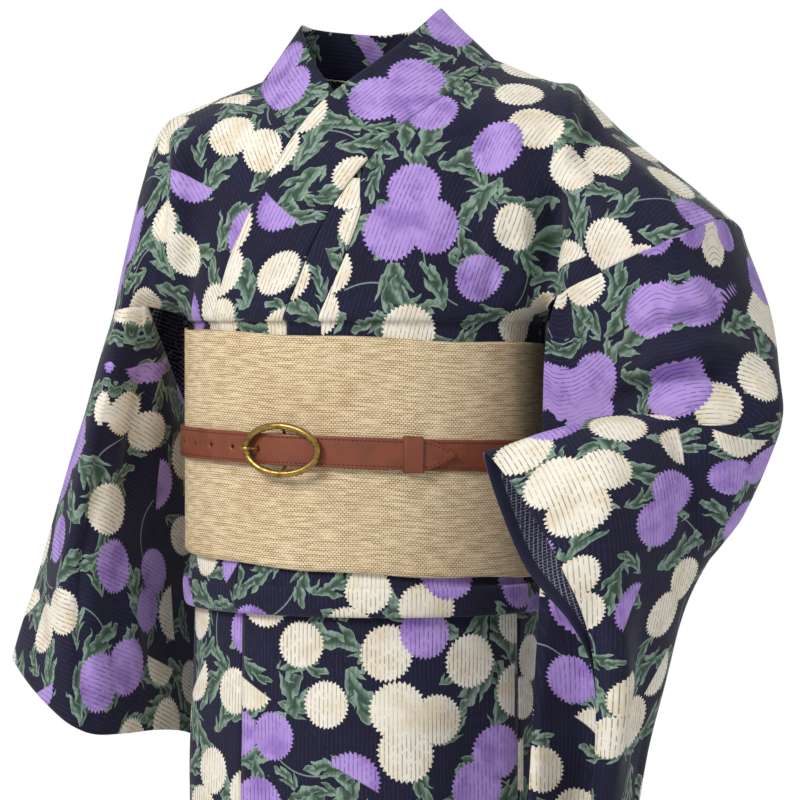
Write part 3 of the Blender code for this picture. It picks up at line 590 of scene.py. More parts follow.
def flattened(grid, closed, eased):
    """Each point of a grid in its flat cut piece, in metres beside and down it.

    The cloth keeps its own lengths as well as it can. An eased strip stays straight instead.
    """
    if closed:
        grid = np.concatenate([grid, grid[:, :1]], axis=1)
    down, beside = lengths_along(grid, 0), lengths_along(grid, 1)
    middle_row, middle = len(grid) // 2, grid.shape[1] // 2
    down = down - down[middle_row]
    beside = beside - beside[:, middle:middle + 1]
    if eased:
        down = np.repeat(down[:, middle:middle + 1], grid.shape[1], axis=1)
        return np.stack([beside, down], axis=-1)
    flat = np.stack([beside, down], axis=-1)
    first, rest, every = slice(None, -1), slice(1, None), slice(None)
    pairs = (((first, every), (rest, every)), ((every, first), (every, rest)),
             ((first, first), (rest, rest)), ((rest, first), (first, rest)))
    lengths = [np.linalg.norm(grid[b] - grid[a], axis=2) for a, b in pairs]
    for _ in range(FLATTEN_ROUNDS):
        push = np.zeros_like(flat)
        for (a, b), length in zip(pairs, lengths):
            gap = flat[b] - flat[a]
            now = np.maximum(np.linalg.norm(gap, axis=2), 1e-6)
            pull = gap * ((now - length) / now)[..., None]
            push[a] += pull
            push[b] -= pull
        flat += push * FLATTEN_STEP
    return flat


def normals_of(grid, closed, flip):
    """Outward unit normals of a grid."""
    along = np.gradient(grid, axis=0)
    if closed:
        ring = np.concatenate([grid[:, -2:-1], grid, grid[:, 1:2]], axis=1)
        beside = np.gradient(ring, axis=1)[:, 1:-1]
    else:
        beside = np.gradient(grid, axis=1)
    normal = np.cross(along, beside)
    normal /= np.maximum(np.linalg.norm(normal, axis=2, keepdims=True), 1e-9)
    return -normal if flip else normal


def view_axes(azimuth):
    a = math.radians(azimuth)
    return np.array([math.cos(a), math.sin(a), 0]), np.array([math.sin(a), -math.cos(a), 0])


def crease_shift(name, grid, normal):
    """How far each point stands out for the creases of its piece."""
    shift = np.zeros(grid.shape[:2])
    for group in CREASED:
        if name not in group.pieces:
            continue
        right, towards = view_axes(group.azimuth)
        near = CAMERA_DISTANCE / (CAMERA_DISTANCE - grid @ towards)
        across = (grid @ right - AIM_ACROSS) * near + AIM_ACROSS
        below = CAMERA_Z + (grid[..., 2] - CAMERA_Z) * near
        facing = CREASE_STRENGTH * soft_step(0.05, 0.35, normal @ towards)
        for crease in group.creases:
            away, progress = from_path(np.array(crease.path) * (0.001, -0.001), across, below)
            fade = np.sin(np.pi * np.clip(progress, 0.04, 0.96)) ** 0.7
            fall = np.exp(-((away / (crease.width * 0.001)) ** 2))
            shift += facing * crease.depth * 0.001 * fade * fall
    return shift


def from_path(path, across, below):
    """How far each place is from a path, and how far along it the nearest point lies, from 0 to 1."""
    spans = np.linalg.norm(np.diff(path, axis=0), axis=1)
    nearest = np.full(across.shape, 9.0)
    progress = np.zeros(across.shape)
    walked = 0.0
    for start, way, span in zip(path, np.diff(path, axis=0), spans):
        along = np.clip(((across - start[0]) * way[0] + (below - start[1]) * way[1]) / span**2, 0, 1)
        away = np.hypot(across - start[0] - along * way[0], below - start[1] - along * way[1])
        closer = away < nearest
        nearest = np.where(closer, away, nearest)
        progress = np.where(closer, (walked + along * span) / spans.sum(), progress)
        walked += span
    return nearest, progress


def soft_unevenness(grid, size, depth):
    """Gentle unevenness, the same for every piece that meets at a place."""
    shift = np.empty(grid.shape[:2])
    for index in np.ndindex(shift.shape):
        shift[index] = noise.noise(Vector(grid[index]) / size)
    return shift * depth


def lengths_along(grid, axis):
    """Distance walked along a grid's rows or columns."""
    step = np.linalg.norm(np.diff(grid, axis=axis), axis=2)
    walked = np.cumsum(step, axis=axis)
    start = np.zeros_like(walked[:1]) if axis == 0 else np.zeros_like(walked[:, :1])
    return np.concatenate([start, walked], axis=axis)


def add_mesh(name, points, faces, *looks):
    mesh = bpy.data.meshes.new(name)
    mesh.from_pydata(np.asarray(points, float).tolist(), [], faces)
    mesh.shade_smooth()
    for look in looks:
        mesh.materials.append(look)
    obj = bpy.data.objects.new(name, mesh)
    bpy.context.scene.collection.objects.link(obj)
    return obj


def shell(name, grid, places, outside, inside, closed=False, flip=False, thick=SHELL):
    """A thin cloth piece from its outer side's grid. places are metres across and along the bolt."""
    rows, columns = grid.shape[:2]
    faces, corners = [], []
    used = columns - 1 if closed else columns
    for i in range(rows - 1):
        for j in range(columns - 1):
            k = (j + 1) % used if closed else j + 1
            order = ((i, j, j), (i + 1, j, j), (i + 1, k, j + 1), (i, k, j + 1))
            order = order[::-1] if flip else order
            faces.append([r * used + c for r, c, _ in order])
            corners += [(r, c) for r, _, c in order]
    obj = add_mesh(name, grid[:, :used].reshape(-1, 3), faces, outside, inside)
    layer = obj.data.uv_layers.new(name="UVMap")
    spots = np.array(corners)
    layer.data.foreach_set("uv", places[spots[:, 0], spots[:, 1]].astype(np.float32).ravel())
    wall = obj.modifiers.new("wall", "SOLIDIFY")
    wall.thickness = thick
    wall.offset = -1
    wall.material_offset = 1
    wall.use_even_offset = False
    return obj


def bolt_places(name, flat, warp_axis, rows, columns):
    """Metres across and along the bolt for each point of the finer grid."""
    flat = curve_through(flat, np.arange(len(flat)), rows).transpose(1, 0, 2)
    flat = curve_through(flat, np.arange(len(flat)), columns).transpose(1, 0, 2)
    beside, down = flat[..., 0], flat[..., 1]
    across, along = (beside, down) if warp_axis == 0 else (down, beside)
    return np.stack([across + LAYS[name].across, LAYS[name].along - along], axis=-1)


def mark_hem(piece, grid):
    """A value on each point of a sleeve that reaches 1 at the cuff, for the hem inside it."""
    walked = lengths_along(grid, 0)
    reach = np.clip(1 - (walked[-1:] - walked) / HEM_MARK_REACH, 0, 1)
    layer = piece.data.attributes.new("hem_reach", "FLOAT", "POINT")
    layer.data.foreach_set("value", reach[:, :-1].astype(np.float32).ravel())


def creased(name, grid, closed, flip, hold=None, rough=0.0012):
    """The grid with its creases, held still where hold is 0."""
    normal = normals_of(grid, closed, flip)
    shift = crease_shift(name, grid, normal) + soft_unevenness(grid, 0.05, rough)
    if closed:
        shift[:, -1] = shift[:, 0]
    if hold is not None:
        shift = shift * hold
    return grid + normal * shift[..., None]


# Materials

class Value:
    """A shader value. Signs and methods join it to others, and each gives a new Value."""

    def __init__(self, tree, socket):
        self.tree = tree
        self.socket = socket

    def node(self, kind, *values, out=0, **settings):
        return put(self.tree, kind, self, *values, out=out, **settings)

    def calc(self, operation, *values):
        return self.node("ShaderNodeMath", *values, operation=operation)

    def vector(self, operation, *values, out=0):
        return self.node("ShaderNodeVectorMath", *values, out=out, operation=operation)

    def __add__(self, other):
        return self.calc("ADD", other)

    def __sub__(self, other):
        return self.calc("SUBTRACT", other)

    def __mul__(self, other):
        return self.calc("MULTIPLY", other)

    def __truediv__(self, other):
        return self.calc("DIVIDE", other)

    def __rsub__(self, other):
        return put(self.tree, "ShaderNodeMath", other, self, operation="SUBTRACT")

    def __rtruediv__(self, other):
        return put(self.tree, "ShaderNodeMath", other, self, operation="DIVIDE")

    def __abs__(self):
        return self.calc("ABSOLUTE")

    def scaled(self, factor, plus):
        return self.calc("MULTIPLY_ADD", factor, plus)

    def larger(self, other):
        return self.calc("MAXIMUM", other)

    def wave(self, peak):
        """Rises from 0 to the peak and falls back, over and over."""
        return self.calc("PINGPONG", peak)

    def noise(self, scale, detail):
        return self.node("ShaderNodeTexNoise", None, scale, detail)

    def ramp(self, low, high):
        """0 at low and 1 at high, smooth between."""
        return self.node("ShaderNodeMapRange", low, high, interpolation_type="SMOOTHSTEP")

    def parts(self, kind="ShaderNodeSeparateXYZ"):
        return [Value(self.tree, socket) for socket in self.node(kind).socket.node.outputs]


def join(value, socket):
    """Links a Value to an input, or sets the input to a plain value."""
    if isinstance(value, Value):
        value.tree.links.new(value.socket, socket)
    elif value is not None:
        socket.default_value = value


def put(tree, kind, *values, out=0, **settings):
    """A shader node with its inputs in order, as its output Value."""
    made = tree.nodes.new(kind)
    for key, value in settings.items():
        setattr(made, key, value)
    for socket, value in zip(made.inputs, values):
        join(value, socket)
    return Value(tree, made.outputs[out])


def blend(factor, first, second, kind="RGBA"):
    """From first to second as the factor goes from 0 to 1."""
    tree = (factor if isinstance(factor, Value) else first).tree
    made = tree.nodes.new("ShaderNodeMix")
    made.data_type = kind
    low, high, out = {"FLOAT": (2, 3, 0), "VECTOR": (4, 5, 1), "RGBA": (6, 7, 2)}[kind]
    for index, value in ((0, factor), (low, first), (high, second)):
        join(value, made.inputs[index])
    return Value(tree, made.outputs[out])


def bump(height, strength, distance, under=None):
    """The normal of a surface with heights on it, over another normal."""
    made = height.tree.nodes.new("ShaderNodeBump")
    inputs = {"Strength": strength, "Distance": distance, "Height": height, "Normal": under}
    for name, value in inputs.items():
        join(value, made.inputs[name])
    return Value(height.tree, made.outputs[0])


def srgb(color, scale=1.0):
    """Linear colour with alpha from sRGB steps."""
    parts = [c * scale / 255 for c in color]
    return (*[c / 12.92 if c <= 0.04045 else ((c + 0.055) / 1.055) ** 2.4 for c in parts], 1.0)


def new_look(name, on_bolt=False):
    """A new material, and the place on its surface: on the bolt, or in the object's own space."""
    made = bpy.data.materials.new(name)
    made.use_nodes = True
    kind, out = ("ShaderNodeUVMap", 0) if on_bolt else ("ShaderNodeTexCoord", 3)
    return made, put(made.node_tree, kind, out=out)


def finish_look(made, inputs):
    shader = made.node_tree.nodes["Principled BSDF"]
    for name, value in inputs.items():
        join(value, shader.inputs[name])
    return made


Motif = namedtuple("Motif", "x y radius squash turn purple")


def apart(first, second):
    """Distance between two places of the repeating print."""
    gap = np.subtract(first, second)
    gap -= np.array(PRINT_TILE) * np.round(gap / PRINT_TILE)
    return float(np.hypot(*gap))


def lay_blossoms(rng):
    """Whole blossoms in ones, twos and threes, and half ones, clear of each other over the repeat."""
    blossoms, halves, spots_taken = [], [], []
    for group in BLOSSOM_GROUPS:
        for _ in range(LAY_TRIES):
            turn = rng.random() * 2 * np.pi
            spots = [rng.random(2) * PRINT_TILE]
            for i in range(1, len(group)):
                way = turn + i * BLOSSOM_TURN
                spots.append(spots[0] + BLOSSOM_STEP * np.array([np.cos(way), np.sin(way)]))
            if all(apart(s, t) > BLOSSOM_ROOM * BLOSSOM_RADIUS for s in spots for t in spots_taken):
                break
        else:
            continue
        spots_taken += spots
        for (x, y), kind in zip(spots, group):
            size = BLOSSOM_RADIUS * rng.uniform(0.88, 1.12)
            made = Motif(x, y, size, rng.uniform(0.90, 1.0), rng.random() * 2 * np.pi, int(kind in "pH"))
            (halves if kind in "hH" else blossoms).append(made)
    return blossoms, halves


def lay_stems(rng, blossoms):
    """Thin stems in the widest gaps between the blossoms."""
    stems = []
    for _ in range(STEM_COUNT):
        tries = rng.random((200, 2)) * PRINT_TILE
        room = [min([apart(t, (m.x, m.y)) for m in blossoms + stems]) for t in tries]
        x, y = tries[int(np.argmax(room))]
        stems.append(Motif(x, y, STEM_RADIUS, 1.0, rng.random() * 2 * np.pi, 0))
    return stems


def nearest_motif(place, motifs):
    """The position inside the nearest motif, in its own radius, and its distance."""
    best, spot = None, None
    half = np.array(PRINT_TILE) / 2
    for motif in motifs:
        centre = np.array([motif.x, motif.y])
        near = place.vector("WRAP", (*(centre + half), 1), (*(centre - half), -1))
        own = near.node("ShaderNodeMapping", (*centre, 0), (0, 0, motif.turn),
                        (motif.radius, motif.radius * motif.squash, 1), vector_type="TEXTURE")
        away = own.vector("LENGTH", out=1)
        if best is None:
            best, spot = away, own
            continue
        spot = blend(away.calc("LESS_THAN", best), spot, own, "VECTOR")
        best = away.calc("MINIMUM", best)
    return spot, best


def blossom_mask(spot, away, rough):
    """Inside of a round blossom with a fine, sharp, toothed edge."""
    x, y, _ = spot.parts()
    tooth = (y.calc("ARCTAN2", x) * (BLOSSOM_TEETH / np.pi)).wave(1.0)
    edge = tooth.scaled(TOOTH_DEPTH, 1.0 - TOOTH_DEPTH)
    edge = (rough - 0.5).scaled(0.14, edge)
    return (edge - away).ramp(-0.012, 0.012)


def half_mask(spot, away, rough):
    """A blossom seen from the side: toothed above, nearly straight below."""
    return blossom_mask(spot, away, rough) * spot.parts()[1].ramp(0.05, 0.11)


def leaf_masks(spot, rough):
    """Inside, pale edge and dark middle of a pointed leaf with uneven lobes."""
    x, y, _ = spot.parts()
    along = x.scaled(0.5, 0.5)
    bent = (rough - 0.5).scaled(0.75, (x * x).scaled(0.42, y - 0.14))
    side = abs(bent)
    lobe = (side.scaled(-0.22, along) * 2.3 + bent.calc("SIGN") * 0.23).calc("FRACT")
    outline = (along * (1.0 - along)).larger(0.0).calc("POWER", 0.72)
    depth = outline * lobe.scaled(1.75, 0.70) - side
    return depth.ramp(0.0, 0.03), 1.0 - depth.ramp(0.06, 0.15), depth.ramp(0.18, 0.55)


def stem_mask(spot):
    """A thin bent stem."""
    x, y, _ = spot.parts()
    bend = abs((x * x).scaled(0.30, y))
    return bend.ramp(0.030, 0.016) * abs(x).ramp(1.0, 0.96)


def leaf_layer(place, offset, rough):
    """Pointed leaves of uneven size and turn, one to a cell of a loose scatter."""
    shifted = place.vector("ADD", (*offset, 0))
    cells = shifted.node("ShaderNodeTexVoronoi", voronoi_dimensions="2D").socket.node
    cells.inputs["Scale"].default_value = 1 / LEAF_SPACING
    cells.inputs["Randomness"].default_value = 0.85
    centre, color = (Value(place.tree, cells.outputs[name]) for name in ("Position", "Color"))
    turn, size, shown = color.parts("ShaderNodeSeparateColor")
    own = shifted.vector("SUBTRACT", centre)
    own = own.node("ShaderNodeVectorRotate", None, None, turn * (2 * np.pi), rotation_type="Z_AXIS")
    own = own.vector("SCALE", None, None, 1.0 / (size.scaled(0.55, 0.60) * LEAF_HALF_LENGTH))
    inside, line, middle = leaf_masks(own.vector("MULTIPLY", (1, 1 / LEAF_SLIMNESS, 1)), rough)
    return inside * shown.calc("GREATER_THAN", 0.14), line, middle


def print_color(place, ribs):
    """The printed ground: stems and leaves, with toothed blossoms over them."""
    rng = np.random.default_rng(PRINT_SEED)
    blossoms, halves = lay_blossoms(rng)
    fine = place.noise(620.0, 2.0)
    broad = place.noise(42.0, 3.0)
    middle = place.noise(110.0, 1.0)
    color = blend(broad.ramp(0.35, 0.65), srgb(NAVY), srgb(NAVY, 0.86))
    spot, _ = nearest_motif(place, lay_stems(rng, blossoms + halves))
    color = blend(stem_mask(spot) * 0.8, color, srgb(STEM))
    printed = 0.0
    for offset in LEAF_OFFSETS:
        inside, line, heart = leaf_layer(place, offset, middle)
        leaf = blend(middle.ramp(0.35, 0.62), srgb(LEAF_MID), srgb(LEAF_EDGE))
        leaf = blend(heart * 0.9, leaf, srgb(LEAF_DARK))
        leaf = blend(line * 0.8, leaf, srgb(LEAF_EDGE))
        color = blend(inside, color, leaf)
        printed = (inside * 0.45).larger(printed)
    for purple, light, shade in ((0, CREAM, CREAM_SHADE), (1, PURPLE, PURPLE_SHADE)):
        spot, away = nearest_motif(place, [b for b in blossoms if b.purple == purple])
        shown = blossom_mask(spot, away, fine)
        spot, away = nearest_motif(place, [b for b in halves if b.purple == purple])
        shown = shown.larger(half_mask(spot, away, fine))
        color = blend(shown, color, blend(broad.ramp(0.42, 0.68), srgb(light), srgb(shade)))
        printed = shown.larger(printed)
    color = blend(ribs * (printed * 0.66), color, srgb(NAVY, 1.3))
    return blend(ribs * (0.5 - printed * 0.5), color, srgb(NAVY_RIB))


def rib_lines(place):
    """Fine broken lines along the warp, and the height of the ribs between them."""
    across, along, _ = place.parts()
    count = across / RIB_SPACING
    near = count.wave(0.5)
    broken = (count.calc("ROUND") * 3.7).node("ShaderNodeCombineXYZ", along * 210.0).noise(1.0, 1.0)
    strong = place.noise(26.0, 1.0)
    line = near.ramp(0.17, 0.05) * broken.ramp(0.32, 0.54)
    return line * strong.ramp(0.35, 0.6).scaled(0.55, 0.45), near


def make_cotton():
    made, place = new_look("printed_cotton", on_bolt=True)
    ribs, height = rib_lines(place)
    weave = place.node("ShaderNodeMapping", None, None, (900, 300, 1)).noise(1.0, 2.0)
    small = bump(height.scaled(0.6, weave * 0.35), 0.55, 0.0004)
    large = bump(place.noise(38.0, 3.0), 0.5, 0.0030, small)
    return finish_look(made, {"Base Color": print_color(place, ribs), "Normal": large, "Roughness": 0.82,
                              "Sheen Weight": 0.12, "Sheen Roughness": 0.5, "Specular IOR Level": 0.25})


def make_reverse():
    """The unprinted back of the cotton, an open grey check on navy, with a plain hem along a cuff."""
    made, place = new_look("cotton_reverse", on_bolt=True)
    across, along, _ = place.parts()
    stripe = (across / RIB_SPACING).wave(0.5).ramp(0.33, 0.41)
    bar = (along / CHECK_SPACING).wave(0.5).ramp(0.36, 0.43)
    thread = stripe.larger(bar) * place.noise(700.0, 1.0).ramp(0.30, 0.56)
    hem = put(made.node_tree, "ShaderNodeAttribute", attribute_name="hem_reach", out=2)
    edge = 1 - CUFF_HEM / HEM_MARK_REACH
    thread = thread * hem.ramp(edge + 0.01, edge - 0.01)
    color = blend(thread, srgb(NAVY, 1.1), srgb(REVERSE_LIGHT))
    return finish_look(made, {"Base Color": color, "Normal": bump(thread, 0.5, 0.0004), "Roughness": 0.88})


def make_sash_material():
    """Plain weave of thick slubby straw yarn: pale cells, with painted shade darkening the gaps between them.
    """
    made, place = new_look("slub_sash", on_bolt=True)
    across, along, _ = place.parts()
    pick = place.noise(90.0, 1.0).scaled(0.0012, along) / SASH_PICK
    row = pick.calc("FLOOR")
    shifted = row.calc("FLOORED_MODULO", 2.0).scaled(0.5, across / SASH_CELL)
    cell = shifted.calc("FLOOR").node("ShaderNodeCombineXYZ", row)
    tone = cell.node("ShaderNodeTexWhiteNoise", noise_dimensions="2D")
    slub = (across * 60.0).node("ShaderNodeCombineXYZ", along * 480.0).noise(1.0, 2.0)
    gap = pick.wave(0.5).ramp(0.19, 0.04).larger(shifted.wave(0.5).ramp(0.17, 0.03))
    gap = gap * slub.ramp(0.30, 0.60).scaled(0.65, 0.35)
    color = blend(slub.ramp(0.45, 0.80), srgb(SASH_LIGHT), srgb(SASH_MID))
    color = blend(tone * 0.45, color, srgb(SASH_MID))
    color = blend(place.noise(14.0, 2.0).ramp(0.45, 0.75) * 0.25, color, srgb(SASH_WARM))
    # Painted shade: the gaps between the cells darken towards brown, standing in for the shade in the
    # recesses
    color = blend(gap * 0.80, color, srgb(SASH_GAP_SHADE))
    height = slub * 0.8 - gap
    return finish_look(made, {"Base Color": color, "Normal": bump(height, 0.8, 0.0006), "Roughness": 0.85})


def make_leather():
    made, place = new_look("brown_leather")
    grain = place.node("ShaderNodeTexVoronoi", None, 900.0)
    tone = place.noise(60.0, 4.0)
    color = blend(tone.ramp(0.35, 0.70), srgb(LEATHER), srgb(LEATHER_DARK))
    color = blend(0.45, color, srgb(LEATHER))
    pores = bump(tone.scaled(0.8, grain), 0.45, 0.0003)
    return finish_look(made, {"Base Color": color, "Roughness": tone.ramp(-0.4, 1.6), "Normal": pores})


def make_brass():
    made, place = new_look("antique_brass")
    patina = place.noise(160.0, 5.0)
    color = blend(patina.ramp(0.40, 0.85), srgb(BRASS), srgb(BRASS_DARK))
    return finish_look(made, {"Base Color": color, "Roughness": patina.ramp(-0.15, 1.5), "Metallic": 1.0})


def make_thread():
    made, place = new_look("maroon_thread")
    color = blend(place.noise(1500.0, 2.0).ramp(0.3, 0.7), srgb(THREAD), srgb(THREAD, 1.3))
    return finish_look(made, {"Base Color": color, "Roughness": 0.8})


# Pieces

def dress_cotton(name, grid, warp_axis, cotton, reverse, closed=False, flip=False,
                 hold=None, step=CLOTH_STEP, rough=0.0012, eased=False):
    """One printed piece that stands for its solid."""
    grid = np.asarray(grid, float)
    fine, rows, columns = refined(grid, step, closed)
    still = None if hold is None else hold(fine)
    bent = creased(name, fine, closed, flip, still, rough)
    places = bolt_places(name, flattened(grid, closed, eased), warp_axis, rows, columns)
    piece = shell(name + "_cloth", bent, places, cotton, reverse, closed, flip)
    if closed:
        mark_hem(piece, bent)
    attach(piece, "root")
    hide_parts(name)


def above_sash(fine):
    """Creases fade where the cloth goes in behind the sash."""
    return soft_step(WAIST_Z - 0.012, WAIST_Z + 0.020, fine[..., 2])


def below_fold(fine):
    return soft_step(-0.425, -0.470, fine[..., 2])


def dress_robe(cotton, reverse):
    for side, table, layer in (("left", LEFT_BODY, 0.0), ("right", RIGHT_BODY, LAYER)):
        grid = bodice_grid(table, layer, side == "left")
        dress_cotton("bodice_" + side, grid, 0, cotton, reverse, flip=side == "left",
                     hold=above_sash)
    dress_cotton("overlap_left_upper", overlap_grid(), 0, cotton, reverse, flip=True,
                 hold=above_sash)
    dress_cotton("collar", collar_grid(), 0, cotton, cotton, flip=True,
                 hold=above_sash, eased=True)
    dress_cotton("sleeve_left", sleeve_grid(LEFT_SLEEVE, LEFT_BODY, 0.0, LEFT_WAVE), 1, cotton, reverse,
                 closed=True)
    dress_cotton("sleeve_right", sleeve_grid(RIGHT_SLEEVE, RIGHT_BODY, LAYER, RIGHT_WAVE), 1, cotton, reverse,
                 closed=True, flip=True)
    for panel in FOLD_PANELS:
        width = WAIST_HALF_WIDTH * math.radians(panel.start - panel.end)
        dress_cotton(panel.name, fold_grid(panel), 1, cotton, reverse, rough=0.0,
                     step=0.003)
    for panel in SKIRT_PANELS:
        width = SKIRT[3].half_width * math.radians(panel.start - panel.end)
        inner = panel.name in ("skirt_overlap_right", "skirt_front_right")
        dress_cotton(panel.name, skirt_grid(panel), 1, cotton, reverse,
                     hold=below_fold, step=0.006, rough=0.0 if inner else 0.0010)


def dress_sash(sash):
    angles = np.linspace(-OBI_HALF_TURN, OBI_HALF_TURN, 161)
    grid = []
    for angle in angles:
        side, front = np.sin(np.radians(angle)), np.cos(np.radians(angle))
        top = OBI_TOP_Z - 0.006 * side + 0.0008 * np.sin(np.radians(angle * 7))
        bottom = OBI_BOTTOM_Z - 0.008 * side - 0.002 * front + 0.0007 * np.sin(np.radians(angle * 9))
        grid.append([waist_point(angle, obi_out(angle), top + (bottom - top) * f) for f in (0, 0.5, 1)])
    fine, _, _ = refined(np.array(grid), 0.004)
    places = np.stack([lengths_along(fine, 0), -lengths_along(fine, 1)], axis=-1)
    piece = shell("obi_cloth", fine, places, sash, sash, flip=True, thick=OBI_WALL)
    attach(piece, "root")
    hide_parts("obi")


def solid_piece(name, points, faces, look, replaces=()):
    """A smooth mesh piece on the object."""
    obj = add_mesh(name, points, faces, look)
    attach(obj, "root")
    if replaces:
        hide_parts(*replaces)
    return obj


def lofted_band(name, rings, look, capped, replaces=()):
    """A closed band through rings of points, with its ends capped."""
    count, around = len(rings), len(rings[0])
    faces = [(i * around + j, i * around + (j + 1) % around, (i + 1) * around + (j + 1) % around,
              (i + 1) * around + j) for i in range(count - 1) for j in range(around)]
    if capped:
        faces.append(tuple(range(around))[::-1])
        faces.append(tuple((count - 1) * around + j for j in range(around)))
    obj = solid_piece(name, np.concatenate(rings), faces, look, replaces)
    shape = bmesh.new()
    shape.from_mesh(obj.data)
    bmesh.ops.recalc_face_normals(shape, faces=shape.faces)
    shape.to_mesh(obj.data)
    shape.free()
    return obj


def strap_half(angle, last):
    to_tip = (last - angle) / TIP_TAPER
    return STRAP_WIDTH / 2 * min(1, max(0.05, 1 - max(0, 1 - to_tip) ** 1.7))


def strap_ring(angle, last):
    """Section of the strap with rounded, slightly crowned edges."""
    half = strap_half(angle, last)
    edge = min(0.0011, half * 0.4)
    outer = strap_out(angle)
    section = []
    for out, up in ((-STRAP_WALL, 1), (-STRAP_WALL + 0.0004, 1.0), (-0.0006, 1.0), (-0.00015, 0.965),
                    (0, 0.90), (-0.0002, 0.80), (-0.0001, 0.70), (0, 0.45), (0, 0)):
        trim = edge if out <= -STRAP_WALL else 0.0
        section.append((outer + out, half * up - trim))
    section += [(out, -up) for out, up in section[-2::-1]]
    return np.array([waist_point(angle, out, belt_z(angle) + up) for out, up in section])


def round_bar(name, points, radius, look, cyclic=False, replaces=(), around=14):
    """A round rod along a line of points, with domed ends when it is open."""
    points = np.asarray(points, float)
    ahead = np.roll(points, -1, axis=0) - np.roll(points, 1, axis=0)
    if not cyclic:
        ahead[0], ahead[-1] = points[1] - points[0], points[-1] - points[-2]
    ahead /= np.linalg.norm(ahead, axis=1, keepdims=True)
    rings = []
    for point, way in zip(points, ahead):
        first = np.cross(way, (0, 0.2, 1.0) if abs(way[2]) < 0.9 else (0, 1.0, 0))
        first /= np.linalg.norm(first)
        second = np.cross(way, first)
        turns = np.linspace(0, 2 * np.pi, around, endpoint=False)
        rings.append(point + radius * (np.outer(np.cos(turns), first) + np.outer(np.sin(turns), second)))
    if cyclic:
        rings.append(rings[0])
        return lofted_band(name, rings, look, False, replaces)
    tips = []
    for point, way, ring in ((points[0], -ahead[0], rings[0]), (points[-1], ahead[-1], rings[-1])):
        tips.append([point + (ring - point) * math.cos(t) + way * radius * math.sin(t)
                     for t in (1.35, 0.9, 0.45)])
    rings = tips[0] + rings + tips[1][::-1]
    return lofted_band(name, rings, look, True, replaces)


def rim_out(angle):
    return strap_out(angle + 360) + 0.0004 + BUCKLE_WIRE


def buckle_point(across, up, out):
    angle = BUCKLE_ANGLE + np.degrees(across / (WAIST_HALF_DEPTH + 0.026))
    return waist_point(angle, out, belt_z(angle) + up)


def dress_strap(leather, thread):
    first, last = BUCKLE_ANGLE + 1.2, 360 + TIP_ANGLE
    angles = np.concatenate([np.linspace(first, 330, 130), np.linspace(331, last - 8, 50),
                             last - 8 * np.cos(np.linspace(0.1, math.pi / 2, 14))])
    rings = [strap_ring(angle, last) for angle in angles]
    strap = lofted_band("belt_strap_leather", rings, leather, True, ["belt_strap"])
    for i, angle in enumerate(HOLE_ANGLES):
        ends = [waist_point(angle + 360, strap_out(angle + 360) + reach, belt_z(angle))
                for reach in (-STRAP_WALL - 0.0004, 0.004)]
        bpy.ops.mesh.primitive_cylinder_add(vertices=20, radius=HOLE_RADIUS * 0.8,
                                            depth=float(np.linalg.norm(ends[1] - ends[0])),
                                            location=tuple((ends[0] + ends[1]) / 2))
        drill = bpy.context.object
        drill.name = "drill_%d" % i
        drill.rotation_mode = "QUATERNION"
        drill.rotation_quaternion = Vector(ends[1] - ends[0]).to_track_quat("Z", "Y")
        cut = strap.modifiers.new("hole", "BOOLEAN")
        cut.operation = "DIFFERENCE"
        cut.object = drill
        bpy.context.view_layer.objects.active = strap
        bpy.ops.object.modifier_apply(modifier=cut.name)
        bpy.data.objects.remove(drill)
    dress_stitches(thread, first, last)


def dress_stitches(thread, first, last):
    """Short stitches in two rows along the edges of the strap's visible layer."""
    points, faces = [], []
    turn = np.degrees(STITCH_PITCH / (WAIST_HALF_WIDTH + 0.01))
    for side in (1, -1):
        for angle in np.arange(first + 8, last - 2.5, turn):
            half = strap_half(angle, last) - 0.0025
            if half < 0.001:
                continue
            start = len(points)
            for f, radius in ((0, 0.4), (0.2, 1), (0.5, 1), (0.62, 0.4)):
                spot_angle = angle + turn * f
                out = strap_out(spot_angle) - 0.00005
                for du, dz in ((1, 0), (0.3, 1), (-0.6, 0), (0.3, -1)):
                    points.append(waist_point(spot_angle, out + du * radius * STITCH_RADIUS,
                                              belt_z(spot_angle) + side * half + dz * radius * STITCH_RADIUS))
            for i in range(3):
                for j in range(4):
                    k = (j + 1) % 4
                    a, b = start + i * 4, start + i * 4 + 4
                    faces.append((a + j, a + k, b + k, b + j))
            faces.append((start, start + 3, start + 2, start + 1))
            faces.append((start + 12, start + 13, start + 14, start + 15))
    solid_piece("belt_stitches", points, faces, thread)


def dress_keeper(leather):
    low = belt_seat(KEEPER_ANGLE) + 0.0002
    high = strap_out(KEEPER_ANGLE + 360) + 0.0004 + KEEPER_WALL
    reach = STRAP_WIDTH / 2 + 0.0006 + KEEPER_WALL
    half_turn = np.degrees(KEEPER_LENGTH / 2 / WAIST_HALF_DEPTH)
    outer = [(low, reach - 0.0006), (low + 0.001, reach), (high - 0.0016, reach),
             (high - 0.0006, reach - 0.0006), (high, reach - 0.0018), (high, 0.0)]
    outer += [(out, -up) for out, up in outer[-2::-1]]
    inner = [(max(out - KEEPER_WALL, low), up * (reach - KEEPER_WALL) / reach) for out, up in outer]
    section = outer + inner[::-1]
    rings = []
    for f in (-1, -0.96, -0.8, -0.4, 0, 0.4, 0.8, 0.96, 1):
        soften = 0.0003 if abs(f) == 1 else 0.0
        angle = KEEPER_ANGLE + half_turn * f
        rings.append(np.array([waist_point(angle, out - soften, belt_z(angle) + up) for out, up in section]))
    lofted_band("belt_keeper_leather", rings, leather, True, ["belt_keeper"])


